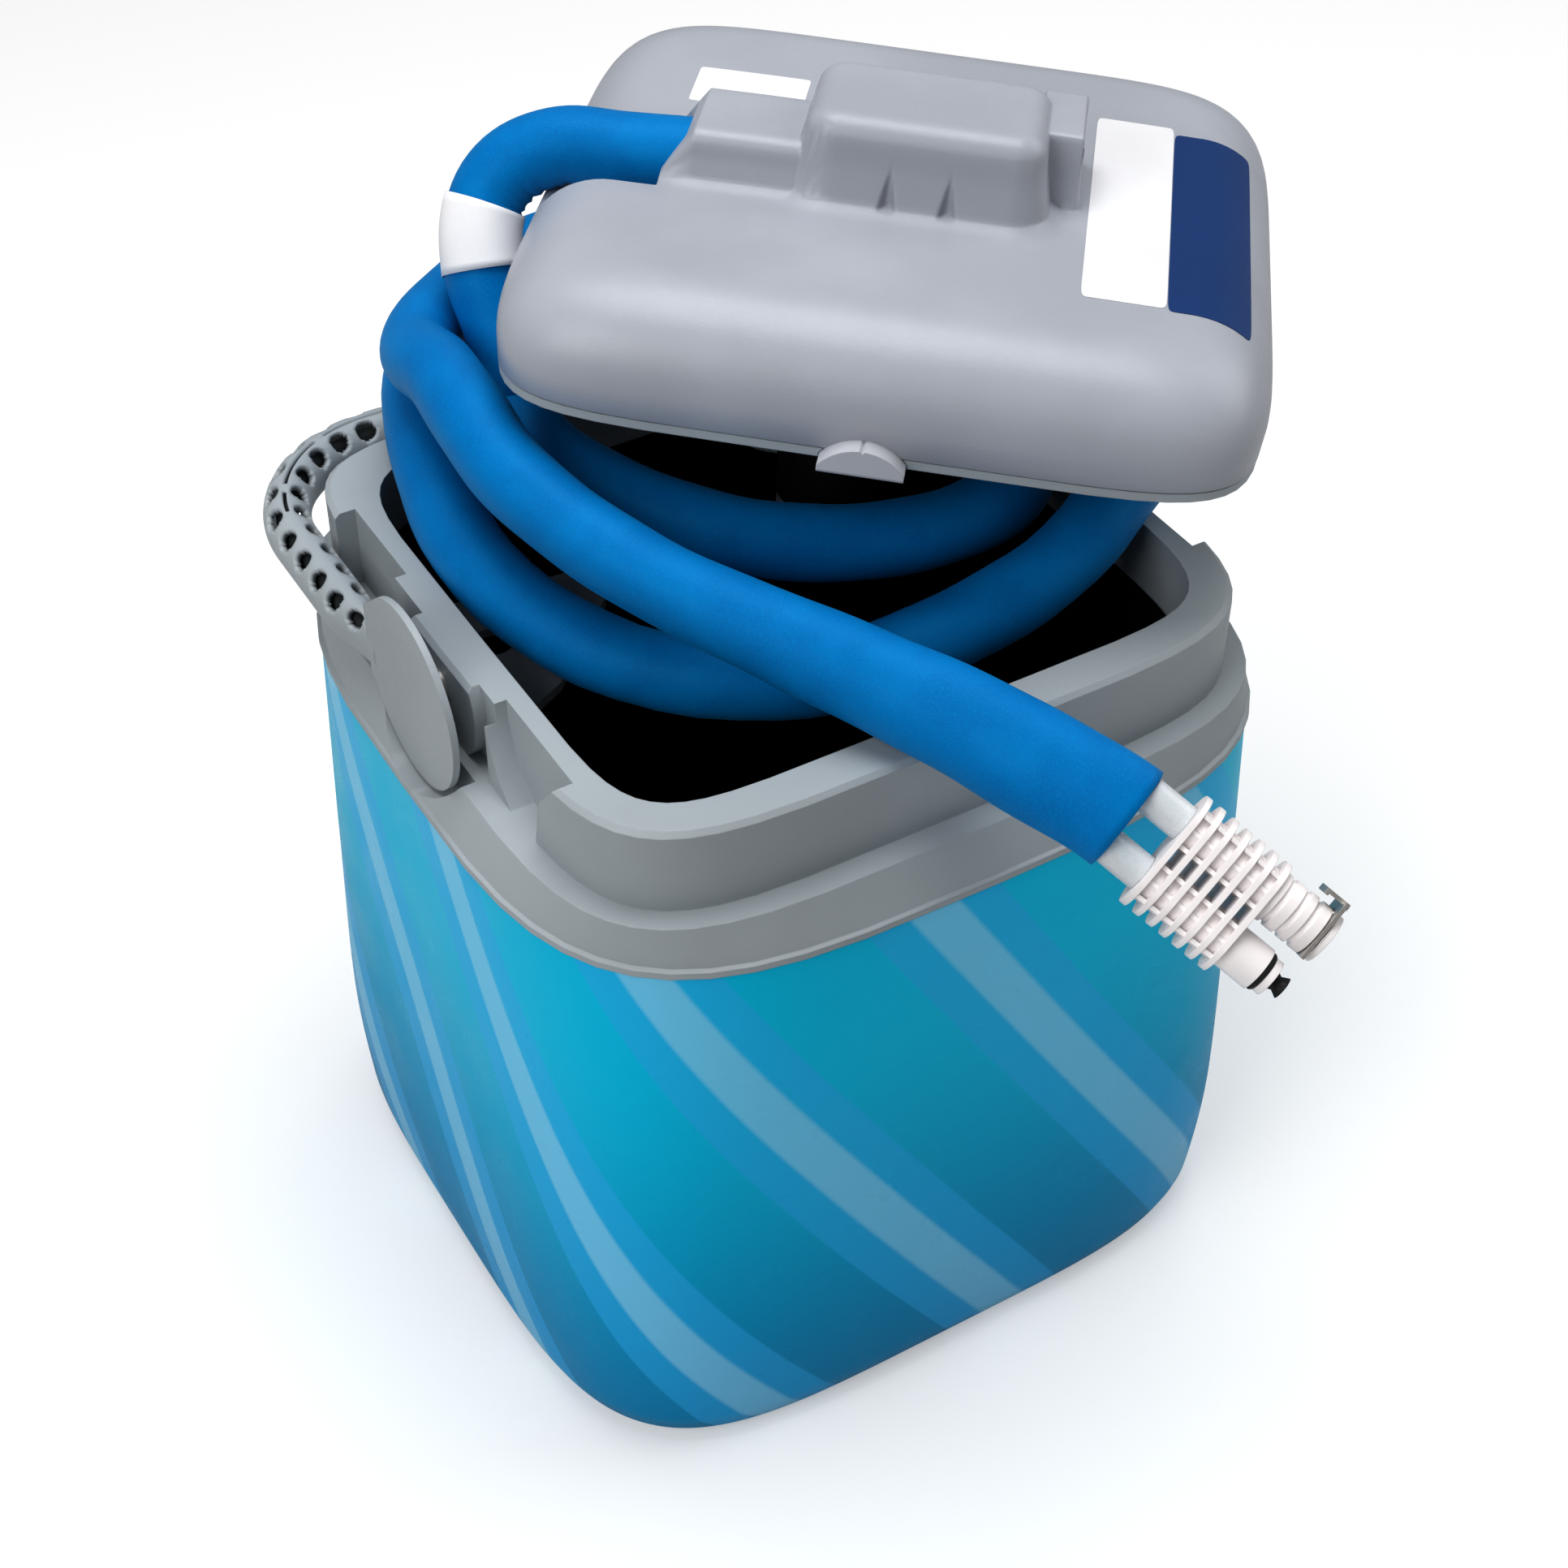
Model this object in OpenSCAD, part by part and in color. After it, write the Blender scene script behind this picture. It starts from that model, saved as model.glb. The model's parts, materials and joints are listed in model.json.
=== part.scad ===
// Hot and cold therapy machine: an insulated water tub with a printed shell, a carrying handle
// folded back round its rim, and a lid with a pump, lifted off and perched on its coiled hose.
// Millimetres, +Z up. The printed front faces -Y and the origin is the middle of the underside.

/* [Tub] */
// Half width of the tub at the collar's lower edge
tub_hx = 115; // [105:1:125]
// Half depth of the tub at the collar's lower edge
tub_hy = 111; // [100:1:120]
// Height of the collar's lower edge
collar_z = 195; // [180:1:210]
// Height of the shelf that the handle rests on
shelf_z = 209.5; // [200:0.5:215]
// Height of the rim
rim_z = 235; // [230:1:240]
// Wall of the printed shell
shell_wall = 2.6; // [2:0.1:4]
// How far the shell stands out low down, beyond the collar's edge
shell_flare = 3.2; // [0:0.2:5]
// Width of the shelf, from the collar's edge to the wall of its rim
shelf_w = 13.3; // [12:0.1:14.5]
// Width of the rim round the mouth
rim_w = 12.3; // [11.5:0.1:14]
// How square the mouth's corners are
mouth_n = 7.6; // [4:0.2:10]

/* [Handle] */
// Height of the pivots
pivot_z = 224.5; // [222:0.5:228]
// Radius of the hub discs
hub_r = 26.5; // [23:0.5:28]
// Radius of the pivot pins
pin_r = 4.5; // [3:0.1:6]
// Radial clearance of the hubs on their pins
pin_gap = 0.08; // [0.03:0.01:0.1]
// Outer radius of the grip's bends
grip_bend_r = 45; // [42:1:50]
// Distance from the pivots to the grip's back
grip_back = 124; // [120:1:130]
// Width of the grip
grip_w = 13.6; // [12:0.2:13.8]
// Height of the grip
grip_h = 15.4; // [14:0.2:17]
// Wall of the hollow grip
grip_wall = 2.2; // [1.6:0.1:3]
// Radius of the grip's round openings
grip_hole_r = 3.5; // [2.5:0.1:3.8]
// Distance between the grip's openings
grip_pitch = 10.4; // [9.4:0.2:14]

/* [Lid] */
// Half width of the lid
lid_hx = 100.8; // [96:0.2:104]
// Half depth of the lid
lid_hy = 100.4; // [94:0.2:104]
// How square the lid's corners are
lid_n = 7; // [4:0.2:10]
// Height of the lid's dome
lid_h = 33; // [28:1:40]
// Radius of the dome's long edges
lid_edge_r = 23; // [16:1:26]
// Wall of the lid's dome
lid_wall = 2.6; // [2:0.1:3.2]
// Height of the pump housing's bulge above the dome
bulge_h = 16; // [12:1:20]
// How far the pump hangs below the lid
pump_drop = 74; // [66:1:80]

/* [Hose] */
// Radius of the hose's foam sleeve
hose_r = 10.5; // [9:0.1:10.7]
// Radius of the two tubes inside the sleeve
tube_r = 4.75; // [4:0.05:5]
// Fins on each side of the twin coupling
fin_count = 7; // [5:1:8]
// Distance between the coupling's fins
fin_pitch = 4.1; // [3.6:0.1:4.4]

/* [Hidden] */
ring_points = 48;
tiny = 0.01;

// Outside of the collar's rim, and the mouth inside it
rim_hx = tub_hx - shelf_w;
rim_hy = tub_hy - shelf_w;
rim_n = 5.6;
shell_n = 3.74;
rim_back_n = 8;
mouth_hx = rim_hx - rim_w;
mouth_hy = rim_hy - rim_w;

// Where the lid lies: tilted and turned, on top of the coiled hose
lid_at = [60.5, 33, 278.9];
lid_turn = -38.7;
lid_pitch = -4.1;
lid_roll = 4.1;

// Places on the lid, in the lid's own frame
lid_seam_z = 2.6;
bulge_at = [3.5, -6.5];
pump_at = [-12, -18];
hose_y = -10;
hose_z = lid_h;
gland_x = -58;
tube_step = 5.2;
pump_port_z = 27 - pump_drop;
screw_x = lid_hx - 20.8;
screw_y = lid_hy - 22.4;
screw_at = [[-screw_x, -screw_y], [screw_x, -screw_y], [screw_x, screw_y], [-screw_x, screw_y],
    [0, 16.4 - lid_hy], [0, lid_hy - 16.4]];

// The coil runs from one part of a turn to another, counted from the first turn's start
coil_from = 0.21;
coil_to = 1.57;
coil_rings = 34;

// Points of the hose's first stretch that the paper band covers
band_rings = [9, 10, 11, 12];

// The hose from the lid down to the coil, and from the coil round and out over the front rim
lead_route = [[-4, 75.7, 316.2], [-16, 84.7, 317.2], [-27, 90.7, 313.2], [-36, 91.7, 306.2],
    [-42, 87.7, 297.2], [-45, 80.7, 286.2], [-45, 72.7, 275.2], [-45.5, 64.7, 263.2]];
end_route = [[99.5, -6.3, 259.8], [98.5, 25.7, 263.8], [80, 65.7, 265.2], [47, 94.7, 267.2],
    [10, 107.7, 271.2], [-23, 109.2, 271.2], [-49, 98.7, 270.2], [-66.5, 80.7, 271.2],
    [-70, 57.7, 277.2], [-72, 35.7, 277.2], [-72, 14.7, 273.2], [-67, -5.3, 268.2],
    [-58, -25.3, 263.2], [-46, -44.3, 258.2], [-33, -63.3, 254.2], [-20, -82.3, 250.2],
    [-8, -102.3, 246.2], [3.5, -122.8, 241.2]];
hose_tip = [14.3, -141.5, 235];

// The coupling hangs from the hose's tip along its own axis
coupling_turn = [46.8, 28.3, -59.1];
tube_pitch = 15.6;
fin_w = 1.6;
grip_x = 11.3;
plug_x = grip_x + (fin_count - 1) * fin_pitch + fin_w;

function side_of(v) = v < 0 ? -1 : 1;
function unit(v) = v / norm(v);

// Outline whose sides bow slightly and whose corners are squarer the higher n is, and in its
// back half back_n
function bowed(hx, hy, n, back_n = 0) = [for (i = [0 : ring_points - 1])
    let (a = 360 * i / ring_points, c = cos(a), s = sin(a), m = back_n > 0 && s > 0 ? back_n : n)
    [hx * side_of(c) * pow(abs(c), 2 / m), hy * side_of(s) * pow(abs(s), 2 / m)]];

// Solid through a stack of outlines, each given as [half width, half depth, squareness, height]
// and, where its back half differs, the back's squareness
module loft(rings) {
    k = ring_points;
    points = [for (r = rings) for (p = bowed(r[0], r[1], r[2], len(r) > 4 ? r[4] : 0)) [p[0], p[1], r[3]]];
    sides = [for (j = [0 : len(rings) - 2]) for (i = [0 : k - 1])
        let (a = j * k + i, b = j * k + (i + 1) % k) [a, a + k, b + k, b]];
    low = [for (i = [0 : k - 1]) i];
    high = [for (i = [k - 1 : -1 : 0]) (len(rings) - 1) * k + i];
    polyhedron(points, concat([low], sides, [high]));
}

// Smooth curve through route points, which leaves and arrives along two given directions
function smooth(p, from, to, steps) = let (m = len(p) - 1,
    q = concat([p[1] - 2 * norm(p[1] - p[0]) * from], p, [p[m - 1] + 2 * norm(p[m] - p[m - 1]) * to]))
    concat([for (i = [1 : m]) for (j = [0 : steps - 1])
        let (t = j / steps, a = q[i - 1], b = q[i], c = q[i + 1], d = q[i + 2])
        0.5 * (2 * b + (c - a) * t + (2 * a - 5 * b + 4 * c - d) * t * t
            + (3 * b - a - 3 * c + d) * t * t * t)], [p[m]]);

// Side directions carried along a curve without twist, one for each point
function carried(t, u, i = 0) = i >= len(t) ? [] :
    let (v = unit(u - (u * t[i]) * t[i])) concat([v], carried(t, v, i + 1));

// Tube of a given radius along points, with end faces square to two given directions. Near its
// end it can widen along one direction, ring by ring, by the factors in widen.
module swept(p, r, from, to, sides, wide = [0, 0, 1], widen = []) {
    m = len(p) - 1;
    t = [for (i = [0 : m]) i == 0 ? from : i == m ? to : unit(p[i + 1] - p[i - 1])];
    u = carried(t, abs(from[2]) < 0.9 ? [0, 0, 1] : [1, 0, 0]);
    points = [for (i = [0 : m]) for (j = [0 : sides - 1]) let (a = 360 * j / sides,
        k = i - m - 1 + len(widen), d = r * (cos(a) * u[i] + sin(a) * cross(t[i], u[i])))
        p[i] + d + (k < 0 ? 0 : widen[k] - 1) * (d * wide) * wide];
    walls = [for (i = [0 : m - 1]) for (j = [0 : sides - 1])
        let (a = i * sides + j, b = i * sides + (j + 1) % sides) [a, a + sides, b + sides, b]];
    near = [for (j = [0 : sides - 1]) j];
    far = [for (j = [sides - 1 : -1 : 0]) m * sides + j];
    polyhedron(points, concat([near], walls, [far]));
}

// Centre of the coiled hose after a number of turns: an oval that widens as it winds down,
// leaning over its own corner bulge, with one side propped on the rim
function coil_point(turns) = let (a = 155 + 360 * turns, w = turns - 0.3,
    x = (72 + 25.8 * w) * cos(a) * (1 + 0.02 * cos(3 * a) + 0.073 * sin(3 * a)),
    y = (46.1 + 27.1 * w) * sin(a) * (1 + 0.02 * cos(3 * a) + 0.073 * sin(3 * a)),
    dx = x * cos(44.5) + y * sin(44.5), dy = y * cos(44.5) - x * sin(44.5))
    [5.7 - 3.2 * w + dx, 38.8 - 7 * w + dy,
        242.9 + 1.2 * w + (0.274 * w - 0.153) * dx + (0.197 * w - 0.017) * dy + 2 * sin(2 * a)];
function coil_way(turns) = unit(coil_point(turns + 0.005) - coil_point(turns - 0.005));
coil_start = coil_point(coil_from) - 2 * hose_r * coil_way(coil_from);
coil_finish = coil_point(coil_to) + 2 * hose_r * coil_way(coil_to);
coil_curve = concat([coil_start],
    [for (i = [0 : coil_rings]) coil_point(coil_from + (coil_to - coil_from) * i / coil_rings)],
    [coil_finish]);

// Least gap between the coil's surface and itself, leaving out neighbouring rings
coil_gap = min([for (i = [0 : len(coil_curve) - 1]) for (j = [i + 8 : 1 : len(coil_curve) - 1])
    norm(coil_curve[i] - coil_curve[j])]) - 2 * hose_r;
echo(str("least gap of the coil to itself: ", coil_gap, " mm"));

// Vector and place in the row frame of a vector and place on the lid
function about_y(p, a) = [p[0] * cos(a) + p[2] * sin(a), p[1], p[2] * cos(a) - p[0] * sin(a)];
function about_x(p, a) = [p[0], p[1] * cos(a) - p[2] * sin(a), p[1] * sin(a) + p[2] * cos(a)];
function about_z(p, a) = [p[0] * cos(a) - p[1] * sin(a), p[0] * sin(a) + p[1] * cos(a), p[2]];
function lid_way(p) = about_z(about_x(about_y(p, lid_roll), lid_pitch), lid_turn);
function lid_place(p) = lid_at + lid_way(p);

module on_lid() {
    translate(lid_at) rotate([0, 0, lid_turn]) rotate([lid_pitch, 0, 0]) rotate([0, lid_roll, 0])
        children();
}

module on_coupling() {
    translate(hose_tip) rotate(coupling_turn) children();
}
function coupling_dir(p) =
    about_z(about_y(about_x(p, coupling_turn[0]), coupling_turn[1]), coupling_turn[2]);
coupling_way = coupling_dir([1, 0, 0]);
coupling_side = coupling_dir([0, 1, 0]);

// Cylinder along X from one place to another
module rod_x(x0, x1, r) {
    translate([x0, 0, 0]) rotate([0, 90, 0]) cylinder(h = x1 - x0, r = r, $fn = 48);
}

module both_sides() {
    children();
    mirror([1, 0, 0]) children();
}

// ---- Tub ----

// Solid of the shell's outline, which tapers up from a low belly and rounds in under it
module shell_solid(inset, z0, z1) {
    hx = tub_hx - inset;
    hy = tub_hy - inset;
    low = shell_flare;
    mid = 0.45 * shell_flare;
    belly_z = 48;
    mid_z = 120;
    loft([[hx - 5.5, hy - 5.5, 4.6, z0], [hx - 3, hy - 3, 4.5, z0 + 1.2],
        [hx - 3.7 + low, hy - 3.7 + low, 4.3, z0 + 5], [hx - 1.6 + low, hy - 1.6 + low, 4.2, z0 + 12],
        [hx + low, hy + low, 4.2, belly_z], [hx + mid, hy + mid, 4.1, mid_z], [hx, hy, shell_n, z1]]);
}

module outer_shell() {
    color("deepskyblue") difference() {
        shell_solid(0, 1, collar_z);
        shell_solid(shell_wall, 1 + shell_wall, collar_z + 1);
        linear_extrude(pad_h) pad_outline(0.4);
    }
}

pad_h = 1.8;
pad_inset = 29.4;

module pad_outline(grow) {
    polygon(bowed(tub_hx - pad_inset + grow, tub_hy - pad_inset + grow, 6));
}

module base_pad() {
    color("dimgray") linear_extrude(pad_h) pad_outline(0);
}

// The liner stands free of the mouth's edge and hangs by a flange under the collar
liner_wall = 2;
liner_gap = 2.4;
liner_z = 28;
liner_top = rim_z - 20;
flange_z = collar_z - 3;
foam_gap = 0.5;

module liner_solid(grow, z0, z1) {
    hx = mouth_hx - liner_gap + grow;
    hy = mouth_hy - liner_gap + grow;
    loft([[hx - 14, hy - 14, 5, z0], [hx - 9, hy - 9, 5.4, z0 + 5], [hx - 6, hy - 6, 6, 90],
        [hx, hy, 7, z1]]);
}

module inner_liner() {
    color("black") difference() {
        union() {
            liner_solid(liner_wall, liner_z, liner_top);
            translate([0, 0, flange_z]) linear_extrude(2) polygon(bowed(tub_hx - 7, tub_hy - 7, shell_n));
        }
        liner_solid(0, liner_z + liner_wall, liner_top + 1);
    }
}

module foam_insulation() {
    color("ivory") difference() {
        shell_solid(shell_wall + foam_gap, 1 + shell_wall + foam_gap, flange_z - foam_gap);
        liner_solid(liner_wall + foam_gap, liner_z - foam_gap, liner_top);
    }
}

// Grey ledge on the liner's wall, under the coil, with a round finger hole
module liner_ledge() {
    ledge_z = liner_top - 19;
    thick = 3;
    color("gray") translate([-mouth_hx, 0, 0]) difference() {
        intersection() {
            translate([0, 0, ledge_z]) linear_extrude(thick)
                polygon([[-10, 2], [19.4, 8], [27.4, 12], [56.4, 40], [51.4, 56], [-10, 62]]);
            translate([mouth_hx, 0, 0]) liner_solid(-tiny, liner_z, liner_top + 1);
        }
        translate([19.4, 38, ledge_z - 1]) cylinder(h = thick + 2, r = 6, $fn = 32);
    }
}

// Outside of the collar, from its lip to its rim
module collar_outside() {
    lip = 0.8;
    round_r = 1.4;
    loft([[tub_hx + lip, tub_hy + lip, shell_n, collar_z], [tub_hx + lip, tub_hy + lip, shell_n, collar_z + 2],
        [tub_hx - 0.3, tub_hy - 0.3, shell_n, collar_z + 2.6],
        [tub_hx - slant_w, tub_hy - slant_w, 4.9, shelf_z, 6],
        [rim_hx, rim_hy, rim_n, shelf_z + tiny, rim_back_n],
        [rim_hx, rim_hy, rim_n, rim_z - round_r, rim_back_n],
        [rim_hx - round_r, rim_hy - round_r, rim_n, rim_z, rim_back_n]]);
}

// How far the collar's slant runs in, from its lip to the shelf
slant_w = 6.2;
collar_wall = 2.6;

module mouth_cut(grow, z0, z1) {
    translate([0, 0, z0]) linear_extrude(z1 - z0)
        polygon(bowed(mouth_hx + grow, mouth_hy + grow, mouth_n));
}

// Hollow under the collar's walls. The sides stay solid behind the hubs and the pockets.
module collar_hollow() {
    wall = collar_wall;
    deep = tub_hx - mouth_hx;
    high = rim_z - collar_z + 2;
    difference() {
        loft([[tub_hx - wall, tub_hy - wall, shell_n, collar_z - 1],
            [tub_hx - slant_w - wall, tub_hy - slant_w - wall, 4.9, shelf_z - wall, 6],
            [rim_hx - wall, rim_hy - wall, rim_n, shelf_z - wall + tiny, rim_back_n],
            [rim_hx - wall, rim_hy - wall, rim_n, rim_z - wall, rim_back_n]]);
        mouth_cut(wall, collar_z - 2, rim_z);
        both_sides() {
            translate([-tub_hx - 2, -pocket_end, collar_z + 2]) cube([deep, 2 * pocket_end, high]);
            translate([-tub_hx - 2, -hub_r - 4, collar_z - 2]) cube([deep, 2 * hub_r + 8, high]);
        }
    }
}

// Places along X of one side's hub: the disc's face and back, the boss that it runs against,
// and the walls of the recess and of the deeper pockets before and behind it
hub_face = tub_hx - 4;
hub_back = tub_hx - 9.8;
boss_face = tub_hx - 10.6;
recess_x = tub_hx - 16.8;
pocket_x = tub_hx - 20.2;
boss_r = 20;
pin_in = mouth_hx + 4;
pocket_end = 72;

// Cuts one side's outline, given by places along Y and Z, as deep as a place along X
module side_cut(x, outline) {
    translate([-tub_hx - 5, 0, 0]) rotate([90, 0, 90]) linear_extrude(tub_hx + 5 - x) polygon(outline);
}

// Recess in one side of the collar: a round seat for the hub disc, a shallow recess over it, a
// pocket behind for the handle's arm, and one before it that narrows downwards
module hub_recess() {
    top = rim_z + 5;
    translate([0, 0, pivot_z]) rod_x(-tub_hx - 3, -boss_face, hub_r + 1.5);
    difference() {
        side_cut(recess_x, [[-26, shelf_z], [35, shelf_z], [35, top], [-26, top]]);
        translate([0, 0, pivot_z]) rod_x(-boss_face, -recess_x + 1, boss_r);
    }
    side_cut(pocket_x, [[34.5, shelf_z], [68.5, shelf_z], [68.5, top], [34.5, top]]);
    side_cut(pocket_x, [[-26, top], [-26, pivot_z + 4.5], [-28, pivot_z - 1], [-32, pivot_z - 9],
        [-38.5, shelf_z], [-51.8, shelf_z], [-54.7, pivot_z + 1], [-62.5, rim_z], [-62.5, top]]);
}

module rim_collar() {
    color("darkgray") difference() {
        collar_outside();
        collar_hollow();
        mouth_cut(0, collar_z - 2, rim_z + 1);
        both_sides() {
            hub_recess();
            translate([0, 0, pivot_z]) rod_x(-boss_face - 1, -pin_in, pin_r);
        }
    }
}

module pivot_pins() {
    color("silver") both_sides() translate([0, 0, pivot_z]) rod_x(-hub_face + 1.8, -pin_in, pin_r);
}

// ---- Handle ----

grip_out = tub_hx + 0.8;
grip_mid_z = pivot_z - 3;
grip_y = grip_back - grip_bend_r;
grip_mid_r = grip_bend_r - grip_w / 2;
arm_end = 60;
hole_lean = 42;

module grip_outline(grow = 0) {
    polygon([for (a = [0 : 15 : 345]) [(grip_w / 2 + grow) * cos(a), (grip_h / 2 + grow) * sin(a)]]);
}

// Hollow of the grip, open below
module grip_hollow_outline() {
    hx = grip_w / 2 - grip_wall;
    hz = grip_h / 2 - grip_wall;
    polygon(concat([for (a = [0 : 15 : 180]) [hx * cos(a), hz * sin(a)]], [[-hx, -grip_h], [hx, -grip_h]]));
}

// Arms, bends and back run of the grip, for either of the two outlines above. The arms end at a
// given place along Y.
module grip_run(end_y) {
    translate([0, grip_y, grip_mid_z]) {
        both_sides() translate([-grip_out + grip_bend_r, 0, 0]) {
            rotate([0, 0, 90]) rotate_extrude(angle = 90, $fn = 96) translate([grip_mid_r, 0]) children();
            translate([-grip_mid_r, 0, 0]) rotate([90, 0, 0]) linear_extrude(grip_y - end_y) children();
        }
        translate([-grip_out + grip_bend_r, grip_mid_r, 0]) rotate([90, 0, 90])
            linear_extrude(2 * (grip_out - grip_bend_r)) children();
    }
}

// Two rows of openings through the grip's shoulders, evenly spaced round it
module grip_holes() {
    bends = round(PI / 2 * grip_mid_r / grip_pitch);
    backs = floor(2 * (grip_out - grip_bend_r) / grip_pitch);
    translate([0, grip_y, grip_mid_z]) {
        both_sides() translate([-grip_out + grip_bend_r, 0, 0]) {
            for (i = [0 : bends - 1]) rotate([0, 0, -90 * (i + 0.5) / bends]) grip_hole(grip_mid_r);
            translate([0, -0.6 * grip_pitch, 0]) grip_hole(grip_mid_r);
        }
        for (i = [0 : backs - 1])
            translate([(i - (backs - 1) / 2) * grip_pitch, 0, 0]) rotate([0, 0, -90]) grip_hole(grip_mid_r);
    }
}

module grip_hole(r) {
    translate([-r, 0, 0]) for (side = [-1, 1]) rotate([0, side * hole_lean, 0])
        cylinder(h = grip_w, r = grip_hole_r, $fn = 32);
}

// Narrow slots along the top of the grip
module grip_slots() {
    w = 1.4;
    long = 20;
    translate([0, grip_y, grip_mid_z + grip_h / 2 - 3]) {
        both_sides() translate([-grip_out + grip_bend_r, 0, 0]) for (arc = [[92, 37], [136, 38]])
            rotate([0, 0, arc[0]]) rotate_extrude(angle = arc[1], $fn = 96)
                translate([grip_mid_r - w / 2, 0]) square([w, 4]);
        for (i = [-3 : 2]) translate([i * (long + 3.5) + 1.75, grip_mid_r - w / 2, 0]) cube([long, w, 4]);
    }
}

// One arm, narrowing from the grip's end to a flat plate that runs into the hub disc
module arm_plate() {
    hull() {
        translate([-grip_out + grip_w / 2, arm_end + 3, grip_mid_z]) rotate([90, 0, 0])
            linear_extrude(1) grip_outline(-0.3);
        translate([-hub_face + 0.2, 24, grip_mid_z - 6.5]) cube([hub_face - hub_back - 0.4, 1, 13]);
    }
    translate([-hub_face, 0, pivot_z]) rotate([90, 0, 90]) linear_extrude(hub_face - hub_back)
        polygon([[0, -10], [0, hub_r - 1], [9, hub_r - 2], [19, 18.4], [28, 11], [38, 6], [48, 3.6], [48, -9],
            [30, -10.4], [24, -11.6]]);
}

module handle() {
    color("gray") difference() {
        union() {
            grip_run(arm_end) grip_outline();
            both_sides() {
                arm_plate();
                translate([0, 0, pivot_z]) rod_x(-hub_face, -hub_back, hub_r);
            }
        }
        grip_run(arm_end + 8) grip_hollow_outline();
        grip_holes();
        grip_slots();
        both_sides() translate([0, 0, pivot_z]) {
            rod_x(-hub_face + 1.6, -recess_x, pin_r + pin_gap);
            rod_x(-hub_back, -recess_x, boss_r + 2);
        }
    }
}

// ---- Lid, in its own frame ----

module dome(inset, z0) {
    r = lid_edge_r - inset;
    top = lid_h - inset;
    loft(concat([[lid_hx - inset - 0.4, lid_hy - inset - 0.4, lid_n, z0]],
        [for (i = [0 : 5]) let (a = 18 * i, d = inset + r * (1 - cos(a)))
            [lid_hx - d, lid_hy - d, lid_n, top - r + r * sin(a)]]));
}

module bulge(inset) {
    top = lid_h + bulge_h - inset;
    translate([bulge_at[0], bulge_at[1], 0])
        loft([[37.5 - inset, 34.5 - inset, 5, lid_h - 6], [36 - inset, 33 - inset, 5, lid_h + 2],
            [34.5 - inset, 31.5 - inset, 5, top - 5], [32 - inset, 29 - inset, 5, top - 1.5],
            [28 - inset, 25 - inset, 5, top]]);
}

// Fairing that the hose leaves the lid through, with a slanted mouth
module snout(inset) {
    w = 36 - 2 * inset;
    h = lid_h + 14 - inset;
    difference() {
        translate([-63, hose_y, 0]) rotate([90, 0, 90]) linear_extrude(40)
            polygon([[-w / 2, 18], [-w / 2, h - 7], [-w / 2 + 2, h - 2.5], [-w / 2 + 7, h],
                [w / 2 - 7, h], [w / 2 - 2, h - 2.5], [w / 2, h - 7], [w / 2, 18]]);
        translate([-70, hose_y - 30, lid_h - 16]) rotate([0, 6, 0]) cube([9, 60, 50]);
    }
}

// Channel that the hose lies in, from the lid's edge to the snout
module channel_cut(grow, low) {
    out_x = lid_hx + 10;
    wide = 37;
    translate([-out_x, hose_y - 20 - grow, lid_h - 14 - low])
        cube([out_x + gland_x + grow, wide + 2 * grow, 60]);
}

module lid_bosses() {
    for (p = screw_at) translate([p[0], p[1], lid_seam_z]) cylinder(h = 26.6, r = 4, $fn = 32);
}

module lid_shell() {
    color("darkgray") on_lid() difference() {
        union() {
            difference() {
                union() {
                    dome(0, lid_seam_z);
                    bulge(0);
                    snout(0);
                }
                difference() {
                    dome(lid_wall, lid_seam_z - 1);
                    channel_cut(2.4, 2.4);
                    lid_bosses();
                }
                bulge(2.4);
            }
            inlet_boss();
        }
        channel_cut(0, 0);
        translate([0, hose_y, hose_z]) rod_x(-70, gland_x + 21, hose_r + 1);
        for (p = screw_at) translate([p[0], p[1], 0]) cylinder(h = 16, r = 1.5, $fn = 24);
        for (x = [-5, 11]) vent_groove(x);
        inlet_bore();
        tab_seat();
    }
}

module vent_groove(x) {
    translate([x, bulge_at[1] - 35.8, lid_h + 1]) rotate([-4, 0, 0])
        linear_extrude(11, scale = [0.3, 1]) polygon([[-2, 0], [2, 0], [0, 2.2]]);
}

inlet_at = [34, 11, lid_h + 3.6];
inlet_r = 4.2;

module inlet_boss() {
    translate([36, 2, lid_h - 3]) difference() {
        cube([8.5, 18, 12]);
        translate([8.5, -1, 12]) rotate([0, 45, 0]) cube([4, 20, 4]);
    }
}

module inlet_bore() {
    translate(inlet_at) rotate([0, 90, 0]) cylinder(h = 12, r = inlet_r, $fn = 32);
}

module power_inlet() {
    color("black") on_lid() translate(inlet_at) rotate([0, 90, 0]) difference() {
        cylinder(h = 10.3, r = inlet_r, $fn = 32);
        difference() {
            translate([0, 0, 2]) cylinder(h = 10, r = 2.8, $fn = 32);
            cylinder(h = 9, r = 1, $fn = 24);
        }
    }
}

// Outline of the gasket's seat in the lid's base
seat_hx = lid_hx - 6.2;
seat_hy = lid_hy - 6.2;

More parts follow.
